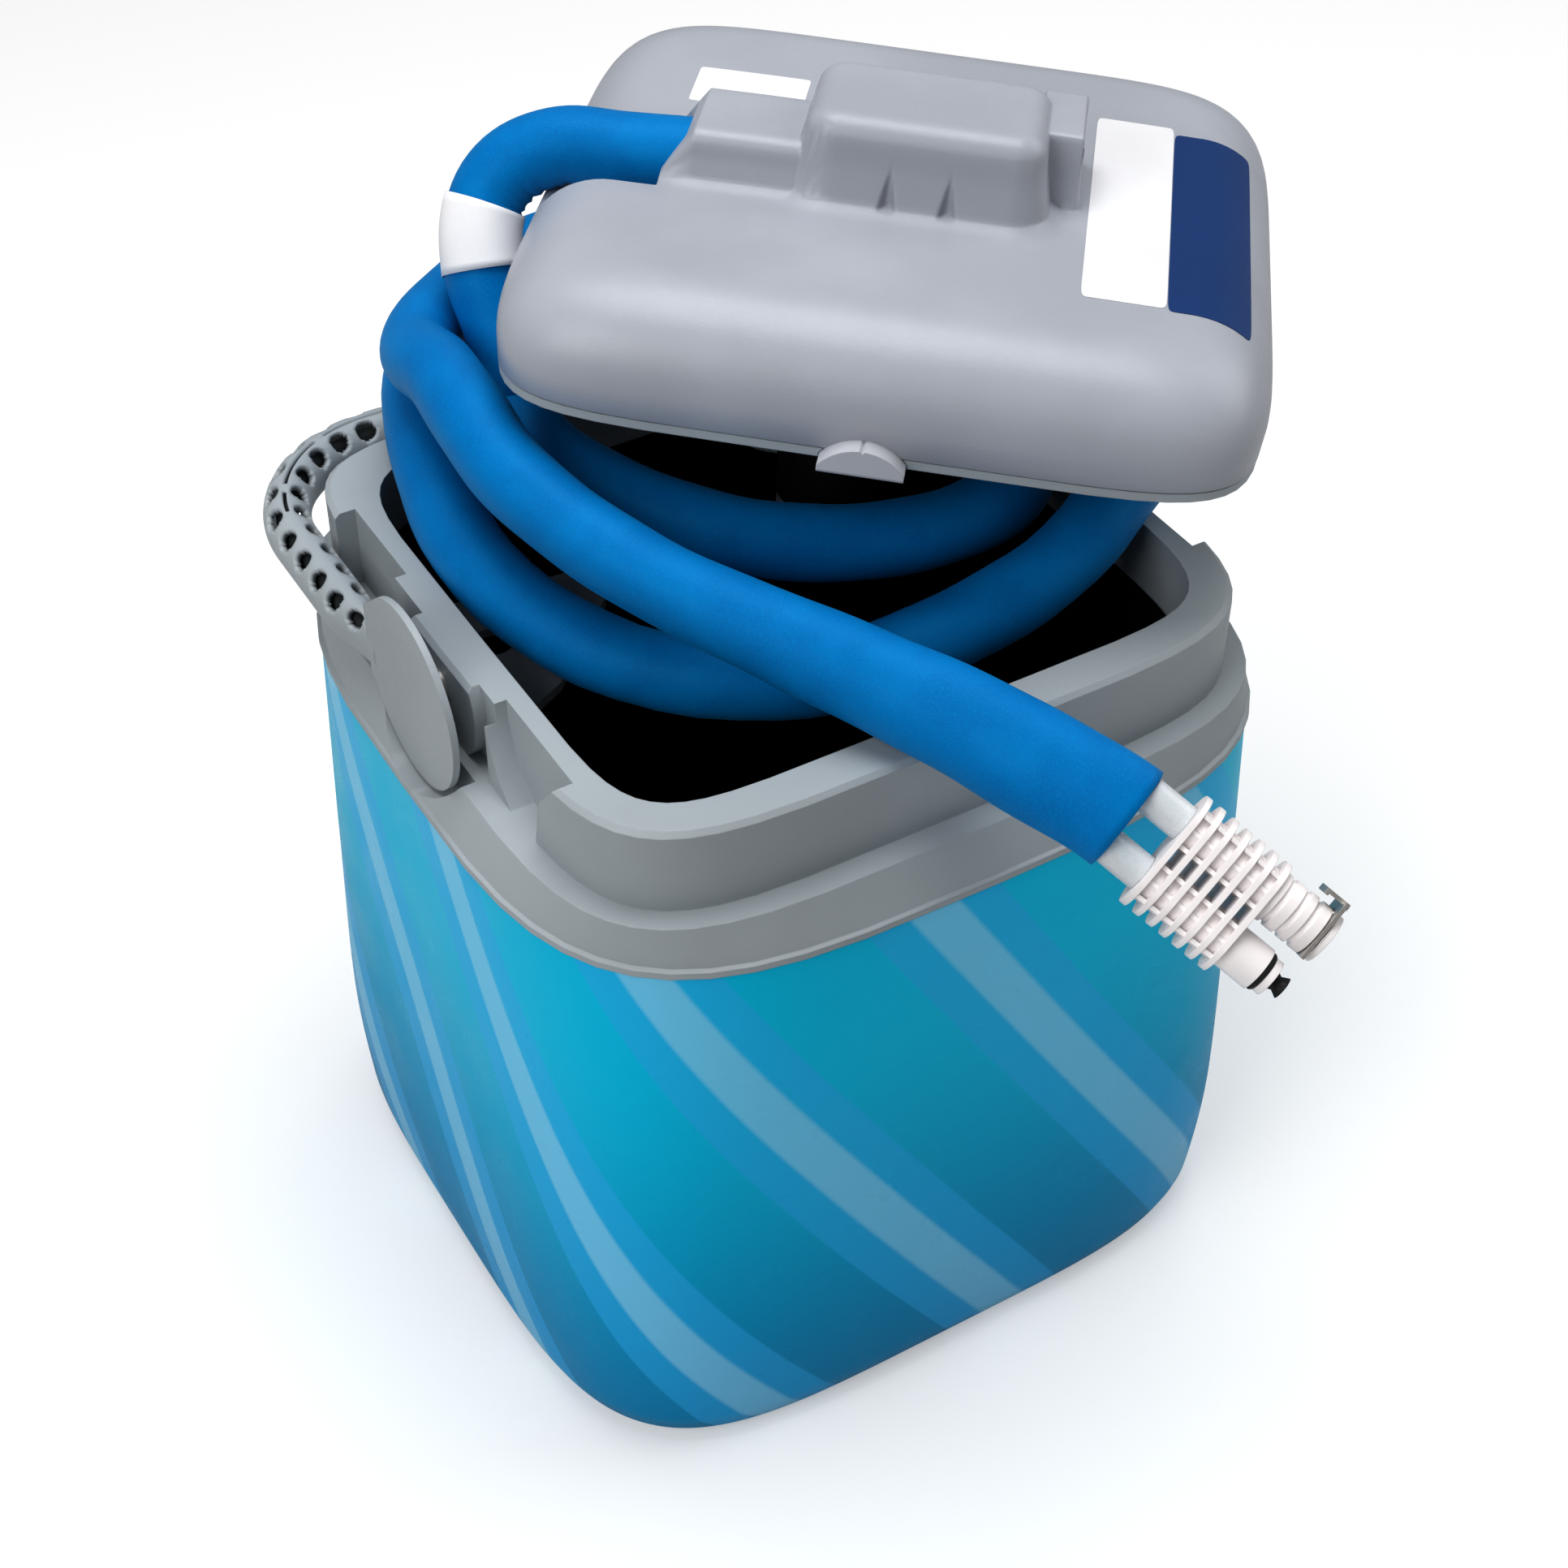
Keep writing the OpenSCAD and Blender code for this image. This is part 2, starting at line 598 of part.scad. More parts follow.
module lid_base() {
    color("gray") on_lid() difference() {
        union() {
            linear_extrude(lid_seam_z - 0.2) polygon(bowed(lid_hx - 0.6, lid_hy - 0.6, lid_n));
            linear_extrude(7) polygon(bowed(lid_hx - 4, lid_hy - 4, lid_n));
        }
        translate([0, 0, 2.4]) linear_extrude(6) polygon(bowed(lid_hx - 6.4, lid_hy - 6.4, lid_n));
        translate([0, 0, -1]) linear_extrude(2) polygon(bowed(seat_hx, seat_hy, lid_n));
        translate([pump_at[0], pump_at[1], -2]) cylinder(h = 10, r = 16.4, $fn = 48);
        for (y = [-1, 1]) translate([gland_x + 18.2, hose_y + y * tube_step, -2])
            cylinder(h = 10, r = tube_r + 0.3, $fn = 32);
        for (p = screw_at) translate([p[0], p[1], -1]) {
            cylinder(h = 10, r = 1.6, $fn = 24);
            cylinder(h = 2.1, r = 3.2, $fn = 24);
        }
        tab_seat();
    }
    color("gray") on_lid() translate([0, 0, 1]) linear_extrude(1.4) difference() {
        polygon(bowed(seat_hx, seat_hy, lid_n));
        translate(pump_at) circle(r = 16.4, $fn = 48);
        for (y = [-1, 1]) translate([gland_x + 18.2, hose_y + y * tube_step])
            circle(r = tube_r + 0.3, $fn = 32);
        for (p = screw_at) translate(p) circle(r = 1.6, $fn = 24);
    }
}

module lid_gasket() {
    color("black") on_lid() translate([0, 0, -0.3]) linear_extrude(1.2) difference() {
        polygon(bowed(seat_hx - 0.2, seat_hy - 0.2, lid_n));
        polygon(bowed(seat_hx - 4, seat_hy - 4, lid_n));
    }
}

module lid_screws() {
    color("silver") on_lid() for (p = screw_at) translate([p[0], p[1], 0]) {
        translate([0, 0, -0.4]) cylinder(h = 1.4, r = 3, $fn = 24);
        cylinder(h = 15, r = 1.48, $fn = 24);
    }
}

module lid_foam() {
    color("ivory") on_lid() difference() {
        intersection() {
            dome(lid_wall + 0.5, 2.8);
            translate([0, 0, 2.8]) linear_extrude(40) polygon(bowed(lid_hx - 7, lid_hy - 7, lid_n));
        }
        translate([-62, -44, 0]) cube([110, 78, 60]);
        channel_cut(3, 3);
        for (p = screw_at) translate([p[0], p[1], 0]) cylinder(h = 40, r = 4.5, $fn = 32);
    }
}

// Half-round finger tab on the lid's front edge, with a notch in its top
module tab_outline(grow) {
    intersection() {
        translate([0, -7]) circle(r = 13.6 + grow, $fn = 64);
        translate([-11 - grow, -1 - grow]) square([22 + 2 * grow, 9 + 2 * grow]);
    }
}

module tab_seat() {
    translate([0, -lid_hy + 3, 0]) rotate([90, 0, 0]) linear_extrude(6) tab_outline(0.15);
}

module lid_tab() {
    color("lightgray") on_lid() translate([0, -lid_hy + 3, 0]) rotate([90, 0, 0]) difference() {
        linear_extrude(8.4) tab_outline(0);
        translate([0, 7.6, 3]) rotate([0, 0, 45]) cube([2.4, 2.4, 12], center = true);
        translate([-12, -2, 7.6]) cube([24, 1.8, 2]);
    }
}

// ---- Pump, hanging from the lid ----

module at_pump(z) {
    on_lid() translate([pump_at[0], pump_at[1], z]) children();
}

module pump_housing() {
    color("black") at_pump(0) difference() {
        union() {
            translate([0, 0, 16 - pump_drop]) cylinder(h = pump_drop - 4, r = 16, $fn = 64);
            translate([0, 0, 2.6]) cylinder(h = 2, r = 20, $fn = 64);
            pump_spout(3.2, 11.6);
        }
        translate([0, 0, 34 - pump_drop]) cylinder(h = 60, r = 14, $fn = 64);
        translate([0, 0, 15 - pump_drop]) cylinder(h = 13, r = 13.6, $fn = 64);
        translate([0, 0, 20 - pump_drop]) cylinder(h = 20, r = 1.56, $fn = 24);
        pump_spout(2, 12.6);
    }
}

// Side outlet of the pump, or the way through it
module pump_spout(r, long) {
    translate([-8.4, hose_y - tube_step - pump_at[1], pump_port_z]) rotate([0, -90, 0])
        cylinder(h = long, r = r, $fn = 32);
}

module pump_motor() {
    color("silver") at_pump(0) difference() {
        translate([0, 0, 34.2 - pump_drop]) cylinder(h = 42, r = 13.8, $fn = 64);
        translate([0, 0, 33 - pump_drop]) cylinder(h = 14, r = 1.56, $fn = 24);
    }
}

module pump_shaft() {
    color("silver") at_pump(0) translate([0, 0, 18.5 - pump_drop]) cylinder(h = 27, r = 1.5, $fn = 24);
}

module impeller() {
    color("white") at_pump(0) difference() {
        union() {
            translate([0, 0, 24.5 - pump_drop]) cylinder(h = 1.6, r = 12, $fn = 64);
            translate([0, 0, 18.6 - pump_drop]) cylinder(h = 6, r = 3.2, $fn = 32);
            for (i = [0 : 5]) rotate([0, 0, 60 * i])
                translate([2.6, -0.6, 19 - pump_drop]) cube([9, 1.2, 5.6]);
        }
        translate([0, 0, 10 - pump_drop]) cylinder(h = 30, r = 1.5, $fn = 24);
    }
}

module pump_cover() {
    color("black") at_pump(0) difference() {
        union() {
            translate([0, 0, 13.8 - pump_drop]) cylinder(h = 2.1, r = 16, $fn = 64);
            translate([0, 0, 15.9 - pump_drop]) cylinder(h = 1.6, r = 13.5, $fn = 64);
        }
        translate([0, 0, 10 - pump_drop]) cylinder(h = 12, r = 5, $fn = 32);
    }
}

module pump_strainer() {
    color("gray") at_pump(-pump_drop) difference() {
        cylinder(h = 13.7, r = 15.5, $fn = 64);
        translate([0, 0, 1.6]) cylinder(h = 14, r = 13.8, $fn = 64);
        for (i = [0 : 11]) rotate([0, 0, 30 * i]) translate([12, -1.5, 3]) cube([6, 3, 8]);
        for (x = [-6, 0, 6]) translate([x - 1, -8, -1]) cube([2, 16, 4]);
    }
}

// Soft tube from the gland that turns down through the lid's base
module inner_tube(y, low) {
    on_lid() translate([gland_x + 8.2, hose_y + y, hose_z]) difference() {
        inner_run(tube_r, 0, low);
        inner_run(tube_r - 1.5, 1, low - 1);
    }
}

module inner_run(r, more, low) {
    bend = 9;
    rotate([0, 90, 0]) translate([0, 0, -more]) cylinder(h = 1 + more, r = r, $fn = 32);
    translate([1, 0, -bend]) rotate([90, 0, 0]) rotate_extrude(angle = 90, $fn = 96)
        translate([bend, 0]) circle(r = r, $fn = 32);
    translate([1 + bend, 0, low - hose_z]) cylinder(h = hose_z - low - bend, r = r, $fn = 32);
}

module supply_tube() {
    color("white", 0.6) inner_tube(-tube_step, pump_port_z + 8);
    color("white", 0.6) on_lid() translate([gland_x + 18.2, hose_y - tube_step, pump_port_z]) difference() {
        supply_foot(tube_r, 0);
        supply_foot(tube_r - 1.5, 1);
    }
}

// Bend at the foot of the supply tube and its short run onto the pump's spout
module supply_foot(r, more) {
    bend = 8;
    translate([bend, 0, bend]) rotate([90, 180, 0]) rotate_extrude(angle = 90, $fn = 96)
        translate([bend, 0]) circle(r = r, $fn = 32);
    translate([bend, 0, 0]) rotate([0, 90, 0]) cylinder(h = 3.4 + more, r = r, $fn = 32);
}

module return_tube() {
    color("white", 0.6) inner_tube(tube_step, -14);
}

module hose_gland() {
    color("black") on_lid() translate([gland_x, hose_y, hose_z]) rotate([0, 90, 0])
        cylinder(h = 8, r = hose_r + 0.9, $fn = 48);
}

// ---- Hose ----

away = lid_way([-1, 0, 0]);
lead_curve = smooth(concat([lid_place([gland_x, hose_y, hose_z])], lead_route, [coil_start]),
    away, coil_way(coil_from), 2);

module hose_lead() {
    color("royalblue") swept(lead_curve, hose_r, away, coil_way(coil_from), 10);
}

module hose_coil() {
    color("royalblue") swept(coil_curve, hose_r, coil_way(coil_from), coil_way(coil_to), 10);
}

module hose_end() {
    flattened = [1.04, 1.12, 1.22, 1.3, 1.34];
    color("royalblue") swept(smooth(concat([coil_finish], end_route, [hose_tip]), coil_way(coil_to),
        coupling_way, 2), hose_r, coil_way(coil_to), coupling_way, 12, coupling_side, flattened);
}

// Paper band wrapped loosely round the hose where it comes down from the lid
module hose_band() {
    color("white") difference() {
        band_tube(band_rings, hose_r + 1.3);
        band_tube([band_rings[0] - 1, each band_rings, band_rings[len(band_rings) - 1] + 1], hose_r + 0.9);
    }
}

module band_tube(rings, r) {
    p = [for (i = rings) lead_curve[i]];
    m = len(p) - 1;
    swept(p, r, unit(p[1] - p[0]), unit(p[m] - p[m - 1]), 20);
}

// ---- Twin coupling, along X from the hose's tip ----

module clear_tubes() {
    color("white", 0.5) on_coupling() for (y = [-1, 1]) translate([0, y * tube_pitch / 2, 0])
        rod_x(0, grip_x, tube_r);
}

grip_long = (fin_count - 1) * fin_pitch + fin_w;

// Housing of both tubes: upright fins joined by lengthwise bars, which leave rows of windows
module coupling_grip() {
    color("white") on_coupling() translate([grip_x, 0, 0]) difference() {
        union() {
            for (i = [0 : fin_count - 1]) translate([i * fin_pitch, 0, 0]) rotate([90, 0, 90])
                linear_extrude(fin_w) coupling_outline();
            for (side = [-1, 1]) translate([0, side * tube_pitch / 2, 0]) {
                rod_x(0, grip_long, sleeve_r);
                for (y = [-bar_pitch, 0, bar_pitch])
                    translate([0, y - 0.6, -6.6]) cube([grip_long, 1.2, 13.2]);
            }
        }
        for (side = [-1, 1]) translate([0, side * tube_pitch / 2, 0])
            rod_x(-1, grip_long + 1, tube_r + 0.4);
    }
}

bar_pitch = 4.6;
sleeve_r = 6;

module coupling_outline() {
    hull() for (side = [-1, 1]) translate([side * 8.5, 0]) circle(r = 8, $fn = 32);
}

// Plug: a round body against the grip, then a nose with its seal ring's groove
plug_r = 5.95;
nose_r = 4.9;
nose_x = plug_x + 10.2;
nose_long = 3.6;
groove_w = 1.6;
valve_bore = 3.2;

module male_plug() {
    color("white") on_coupling() translate([0, -tube_pitch / 2, 0]) difference() {
        union() {
            rod_x(grip_x + 0.1, plug_x + 1, tube_r + 0.4);
            rod_x(plug_x, nose_x, plug_r);
            rod_x(nose_x - 1, nose_x + nose_long, nose_r);
        }
        difference() {
            rod_x(nose_x, nose_x + groove_w, plug_r);
            rod_x(nose_x - 1, nose_x + groove_w + 1, nose_r - 0.9);
        }
        rod_x(plug_x + 4, nose_x + nose_long + 1, valve_bore);
        rod_x(grip_x, plug_x + 5, 2);
    }
}

module plug_ring() {
    ring_r = 0.7;
    color("black") on_coupling() translate([nose_x + groove_w / 2, -tube_pitch / 2, 0]) rotate([0, 90, 0])
        rotate_extrude($fn = 64) translate([nose_r - 0.9 + ring_r + 0.02, 0]) circle(r = ring_r, $fn = 24);
}

// Spool-shaped valve: a guide in the bore, a waist, and a flared tip beyond the nose
module plug_valve() {
    tip = nose_x + nose_long;
    color("black") on_coupling() translate([0, -tube_pitch / 2, 0]) {
        rod_x(tip - 5.4, tip - 3.6, valve_bore - 0.08);
        rod_x(tip - 5.4, tip + 3, 1.9);
        translate([tip + 0.2, 0, 0]) rotate([0, 90, 0]) cylinder(h = 1.6, r1 = 2.7, r2 = 2, $fn = 48);
        translate([tip + 1.8, 0, 0]) rotate([0, 90, 0]) cylinder(h = 1.9, r1 = 2, r2 = 3, $fn = 48);
    }
}

// Socket beside the plug: ribbed body with the slot that its latch plate slides in
socket_r = 6.9;
socket_bore = 5;
latch_x = plug_x + 14.2;
socket_end = plug_x + 16;
bore_x = plug_x + 9;

module female_socket() {
    color("white") on_coupling() translate([0, tube_pitch / 2, 0]) difference() {
        union() {
            rod_x(grip_x + 0.1, plug_x + 1, tube_r + 0.4);
            rod_x(plug_x, socket_end, socket_r);
        }
        for (x = [2.8, 7.1, 10.8]) difference() {
            rod_x(plug_x + x - 0.8, plug_x + x + 0.8, socket_r + 1);
            rod_x(plug_x + x - 1, plug_x + x + 1, socket_r - 0.8);
        }
        rod_x(bore_x, socket_end + 1, socket_bore);
        rod_x(plug_x + 3, bore_x + 1, valve_bore);
        rod_x(grip_x, plug_x + 4, 2);
        difference() {
            translate([latch_x, -12, -12]) cube([1.6, 24, 24]);
            rod_x(latch_x - 1, latch_x + 3, collar_r);
        }
    }
}

// Radius of the socket's neck inside its latch plate
collar_r = 5.6;

module socket_valve() {
    color("black") on_coupling() translate([0, tube_pitch / 2, 0]) {
        rod_x(bore_x - 3.8, bore_x - 2, valve_bore - 0.08);
        rod_x(bore_x - 3.8, bore_x - 0.3, 1.9);
    }
}

module socket_cap() {
    color("white") on_coupling() translate([socket_end, tube_pitch / 2, 0]) difference() {
        rod_x(0, 1.6, socket_r - 0.2);
        rod_x(-1, 3, socket_bore);
    }
}

// Spring plate across the socket, pushed in at its outer end with the thumb to free the plug.
// Its hole is longer than the socket's neck is wide, by its travel.
module thumb_latch() {
    travel = 1.4;
    hole = collar_r + 0.2;
    half = socket_r;
    out = 10.2;
    color("silver") on_coupling() translate([latch_x + 0.3, tube_pitch / 2, 0]) {
        difference() {
            translate([0, -half, -half]) cube([1, half + out, 2 * half]);
            for (y = [0, travel]) translate([0, y, 0]) rod_x(-1, 3, hole);
            translate([-1, 0, -hole]) cube([4, travel, 2 * hole]);
        }
        translate([-5.2, out - 1.1, -4.5]) cube([5.7, 1.1, 9]);
        translate([-5.2, socket_r + 1.6, -4.5]) cube([1.1, out - socket_r - 1.6, 9]);
        translate([0.5, out - 0.9, 0]) rod_x(0, 2, 0.9);
    }
}

outer_shell();
base_pad();
foam_insulation();
inner_liner();
liner_ledge();
rim_collar();
pivot_pins();
handle();
lid_shell();
lid_base();
lid_foam();
lid_gasket();
lid_screws();
lid_tab();
power_inlet();
pump_housing();
pump_motor();
pump_cover();
pump_strainer();
impeller();
pump_shaft();
supply_tube();
return_tube();
hose_gland();
hose_lead();
hose_coil();
hose_end();
hose_band();
clear_tubes();
coupling_grip();
male_plug();
plug_ring();
plug_valve();
female_socket();
socket_valve();
socket_cap();
thumb_latch();
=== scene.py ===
import bpy
import bmesh
import json
import numpy as np
from mathutils import Matrix


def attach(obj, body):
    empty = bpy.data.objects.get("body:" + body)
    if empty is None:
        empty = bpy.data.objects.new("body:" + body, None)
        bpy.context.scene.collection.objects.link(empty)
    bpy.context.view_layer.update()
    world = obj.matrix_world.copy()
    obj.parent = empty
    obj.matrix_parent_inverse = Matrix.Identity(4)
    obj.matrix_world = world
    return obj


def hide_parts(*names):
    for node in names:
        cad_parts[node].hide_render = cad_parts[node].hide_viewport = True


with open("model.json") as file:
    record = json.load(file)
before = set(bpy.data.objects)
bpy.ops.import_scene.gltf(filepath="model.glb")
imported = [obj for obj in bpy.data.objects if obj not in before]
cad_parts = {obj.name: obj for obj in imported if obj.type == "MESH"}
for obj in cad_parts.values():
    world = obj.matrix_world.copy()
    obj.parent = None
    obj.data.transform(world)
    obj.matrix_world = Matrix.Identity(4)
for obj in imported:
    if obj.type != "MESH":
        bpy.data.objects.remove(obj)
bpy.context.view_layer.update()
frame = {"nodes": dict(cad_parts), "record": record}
nodes = frame["nodes"]
mm = 0.001


def turn(axis, degrees):
    # rotation matrix about one of the three axes
    c, s = np.cos(np.radians(degrees)), np.sin(np.radians(degrees))
    return {"x": np.array([[1, 0, 0], [0, c, -s], [0, s, c]]),
            "y": np.array([[c, 0, s], [0, 1, 0], [-s, 0, c]]),
            "z": np.array([[c, -s, 0], [s, c, 0], [0, 0, 1]])}[axis]


lidPlace = {"centre": np.array([60.5, 33, 278.9]),
            "turned": turn("z", -38.7) @ turn("x", -4.1) @ turn("y", 4.1)}
couplingPlace = {"centre": np.array([14.3, -141.5, 235.0]),
                 "turned": turn("z", -59.1) @ turn("y", 28.3) @ turn("x", 46.8)}


def placed(points, place):
    return points @ place["turned"].T + place["centre"]


def makeObject(name, verts, faces, body, smoothAngle=None):
    # verts in millimetres in the row frame; faces as lists or one whole array
    mesh = bpy.data.meshes.new(name)
    mesh.from_pydata((np.asarray(verts, float) * mm).tolist(), [], np.asarray(faces).tolist()
                     if isinstance(faces, np.ndarray) else faces)
    mesh.validate()
    mesh.polygons.foreach_set("use_smooth", np.ones(len(mesh.polygons), bool))
    if smoothAngle is not None:
        mesh.set_sharp_from_angle(angle=np.radians(smoothAngle))
    mesh.update()
    obj = bpy.data.objects.new(name, mesh)
    bpy.context.scene.collection.objects.link(obj)
    if body:
        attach(obj, body)
    return obj


def gridFaces(rows, cols, closed=True):
    # quads between neighbouring rows of a grid whose columns close on themselves or not
    r = np.arange(rows - 1)[:, None] * cols
    c = np.arange(cols if closed else cols - 1)[None, :]
    d = (c + 1) % cols
    return np.stack([r + c, r + d, r + cols + d, r + cols + c], -1).reshape(-1, 4)


def bodyOf(name):
    bodies = frame["record"]["behaviour"]["bodies"]
    return next(body for body, members in bodies.items() if name in members)


def smoothCopy(node, name, smoothAngle=33):
    # the solid's own triangles with their shared corners merged, so that curved faces shade smoothly
    mesh = nodes[node].data
    points = np.empty(len(mesh.vertices) * 3, np.float32)
    mesh.vertices.foreach_get("co", points)
    corners = np.empty(len(mesh.loops), np.int32)
    mesh.loops.foreach_get("vertex_index", corners)
    points = points.reshape(-1, 3).astype(float)
    keys, first, where = np.unique(np.round(points * 1e6).astype(np.int64), axis=0, return_index=True,
                                   return_inverse=True)
    faces = where.reshape(-1)[corners].reshape(-1, 3)
    whole = (faces[:, 0] != faces[:, 1]) & (faces[:, 1] != faces[:, 2]) & (faces[:, 2] != faces[:, 0])
    obj = makeObject(name, points[first] / mm, faces[whole], bodyOf(node), smoothAngle)
    weighted = obj.modifiers.new("faceWeights", "WEIGHTED_NORMAL")
    weighted.keep_sharp = True
    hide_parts(node)
    return obj


def smoothRoute(points, steps, first=None, last=None):
    # Catmull-Rom curve through points, with optional directions at its two ends
    p = np.asarray(points, float)
    before = p[0] * 2 - p[1] if first is None else p[1] - 2 * np.linalg.norm(p[1] - p[0]) * first
    after = p[-1] * 2 - p[-2] if last is None else p[-2] + 2 * np.linalg.norm(p[-1] - p[-2]) * last
    q = np.vstack([before, p, after])
    t = (np.arange(steps) / steps)[None, :, None]
    a, b, c, d = (q[i:len(q) - 3 + i][:, None, :] for i in range(4))
    curve = 0.5 * (2 * b + (c - a) * t + (2 * a - 5 * b + 4 * c - d) * t ** 2
                   + (3 * b - a - 3 * c + d) * t ** 3)
    return np.vstack([curve.reshape(-1, 3), p[-1:]])


def evenly(points, spacing):
    # the same curve with its points a fixed distance apart
    run = np.concatenate([[0], np.cumsum(np.linalg.norm(np.diff(points, axis=0), axis=1))])
    at = np.linspace(0, run[-1], int(run[-1] / spacing) + 1)
    return np.stack([np.interp(at, run, points[:, i]) for i in range(3)], -1), at


def carriedSides(points, first, last):
    # a side direction for each point, carried without twist and then eased round to meet the last one
    t = np.gradient(points, axis=0)
    t /= np.linalg.norm(t, axis=1)[:, None]
    side = np.empty_like(t)
    v = first
    for i in range(len(t)):
        v = v - (v @ t[i]) * t[i]
        v = v / np.linalg.norm(v)
        side[i] = v
    other = np.cross(t, side)
    if last is not None:
        off = np.arctan2(last @ other[-1], last @ side[-1])
        a = np.linspace(0, 1, len(t))[:, None] * off
        side, other = np.cos(a) * side + np.sin(a) * other, np.cos(a) * other - np.sin(a) * side
    return t, side, other


camera = {"azimuth": -0.5385, "elevation": 0.728, "roll": 0.0044, "distance": 761.01,
          "lens": 1.6437 * 36, "target": np.array([0, 0, 151.78]),
          "shift": (11.35 / 1932, -29.82 / 1932)}


def makeCamera(c):
    back = np.array([np.sin(c["azimuth"]) * np.cos(c["elevation"]),
                     -np.cos(c["azimuth"]) * np.cos(c["elevation"]), np.sin(c["elevation"])])
    right = np.array([np.cos(c["azimuth"]), np.sin(c["azimuth"]), 0])
    up = np.cross(back, right)
    cr, sr = np.cos(c["roll"]), np.sin(c["roll"])
    axes = np.stack([cr * right + sr * up, cr * up - sr * right, back], 1)
    data = bpy.data.cameras.new("camera")
    obj = bpy.data.objects.new("camera", data)
    bpy.context.scene.collection.objects.link(obj)
    matrix = np.eye(4)
    matrix[:3, :3] = axes
    matrix[:3, 3] = (c["target"] + back * c["distance"]) * mm
    obj.matrix_world = Matrix(matrix.tolist())
    data.sensor_width = 36
    data.lens = c["lens"]
    data.shift_x, data.shift_y = c["shift"]
    data.clip_start, data.clip_end = 0.01, 20
    bpy.context.scene.camera = obj


makeCamera(camera)
print("stage: camera")


def newMaterial(name, settings):
    material = bpy.data.materials.new(name)
    material.use_nodes = True
    shader = material.node_tree.nodes["Principled BSDF"]
    for key, value in settings.items():
        shader.inputs[key].default_value = value
    return material, material.node_tree, shader


def addNode(tree, kind, links=None, **settings):
    node = tree.nodes.new(kind)
    for key, value in settings.items():
        setattr(node, key, value)
    for key, value in (links or {}).items():
        if isinstance(value, bpy.types.NodeSocket):
            tree.links.new(value, node.inputs[key])
        else:
            node.inputs[key].default_value = value
    return node


def objectPlace(tree):
    return addNode(tree, "ShaderNodeTexCoord").outputs["Object"]


def mixColour(tree, amount, low, high):
    node = addNode(tree, "ShaderNodeMix", {0: amount, 6: low, 7: high}, data_type="RGBA")
    return node.outputs[2]


def rampOf(tree, value, low, high, outLow=0.0, outHigh=1.0):
    node = addNode(tree, "ShaderNodeMapRange", {0: value, 1: low, 2: high, 3: outLow, 4: outHigh},
                   interpolation_type="SMOOTHSTEP")
    return node.outputs[0]


def mouldedPlastic(name, colour, roughness=0.5, grain=0.25, edge=0.5):
    # fine spark-eroded grain, faint broad mottling and softly rounded edges
    material, tree, shader = newMaterial(name, {"Roughness": roughness, "Specular IOR Level": 0.45})
    place = objectPlace(tree)
    broad = addNode(tree, "ShaderNodeTexNoise", {"Vector": place, "Scale": 14.0, "Detail": 4.0})
    fine = addNode(tree, "ShaderNodeTexNoise", {"Vector": place, "Scale": 1500.0, "Detail": 2.0})
    dark = [v * 0.9 for v in colour[:3]] + [1]
    tree.links.new(mixColour(tree, rampOf(tree, broad.outputs[0], 0.35, 0.65), dark, list(colour[:3]) + [1]),
                   shader.inputs["Base Color"])
    tree.links.new(rampOf(tree, fine.outputs[0], 0.3, 0.7, roughness - 0.06, roughness + 0.08),
                   shader.inputs["Roughness"])
    bevel = addNode(tree, "ShaderNodeBevel", {"Radius": edge * mm}, samples=6)
    bump = addNode(tree, "ShaderNodeBump", {"Strength": grain, "Distance": 0.00012,
                                            "Height": fine.outputs[0], "Normal": bevel.outputs[0]})
    tree.links.new(bump.outputs[0], shader.inputs["Normal"])
    return material


def give(obj, material):
    if isinstance(obj, str):
        obj = nodes[obj]
    obj.data.materials.clear()
    obj.data.materials.append(material)
    return obj


greyPlastic = mouldedPlastic("greyPlastic", (0.41, 0.45, 0.475))
paleGrey = mouldedPlastic("paleGreyPlastic", (0.55, 0.56, 0.6))
blackPlastic = mouldedPlastic("blackPlastic", (0.006, 0.006, 0.007), roughness=0.6)
whitePlastic = mouldedPlastic("whitePlastic", (0.97, 0.93, 0.93), roughness=0.42, grain=0.1, edge=0.3)
whiteFoam = mouldedPlastic("whiteFoam", (0.8, 0.78, 0.7), roughness=0.9, grain=0.6)
steel = mouldedPlastic("steel", (0.62, 0.60, 0.57), roughness=0.42, grain=0.2, edge=0.15)
steel.node_tree.nodes["Principled BSDF"].inputs["Metallic"].default_value = 0.9
# the liner's own dark colour with the deep tub's shade painted in: near-black, darker than the other black
# plastics
linerBlackAndShade = mouldedPlastic("linerBlackAndShade", (0.004, 0.004, 0.004), roughness=0.9, grain=0.1, edge=0.0)
linerBlackAndShade.node_tree.nodes["Principled BSDF"].inputs["Specular IOR Level"].default_value = 0.05
blackRubber = mouldedPlastic("blackRubber", (0.012, 0.012, 0.012), roughness=0.55)
paper = mouldedPlastic("paper", (0.86, 0.86, 0.88), roughness=0.75, grain=0.5, edge=0.1)
clearTube = mouldedPlastic("clearTube", (0.92, 0.95, 0.97), roughness=0.2, grain=0.1, edge=0.1)
clearTube.node_tree.nodes["Principled BSDF"].inputs["Transmission Weight"].default_value = 0.3


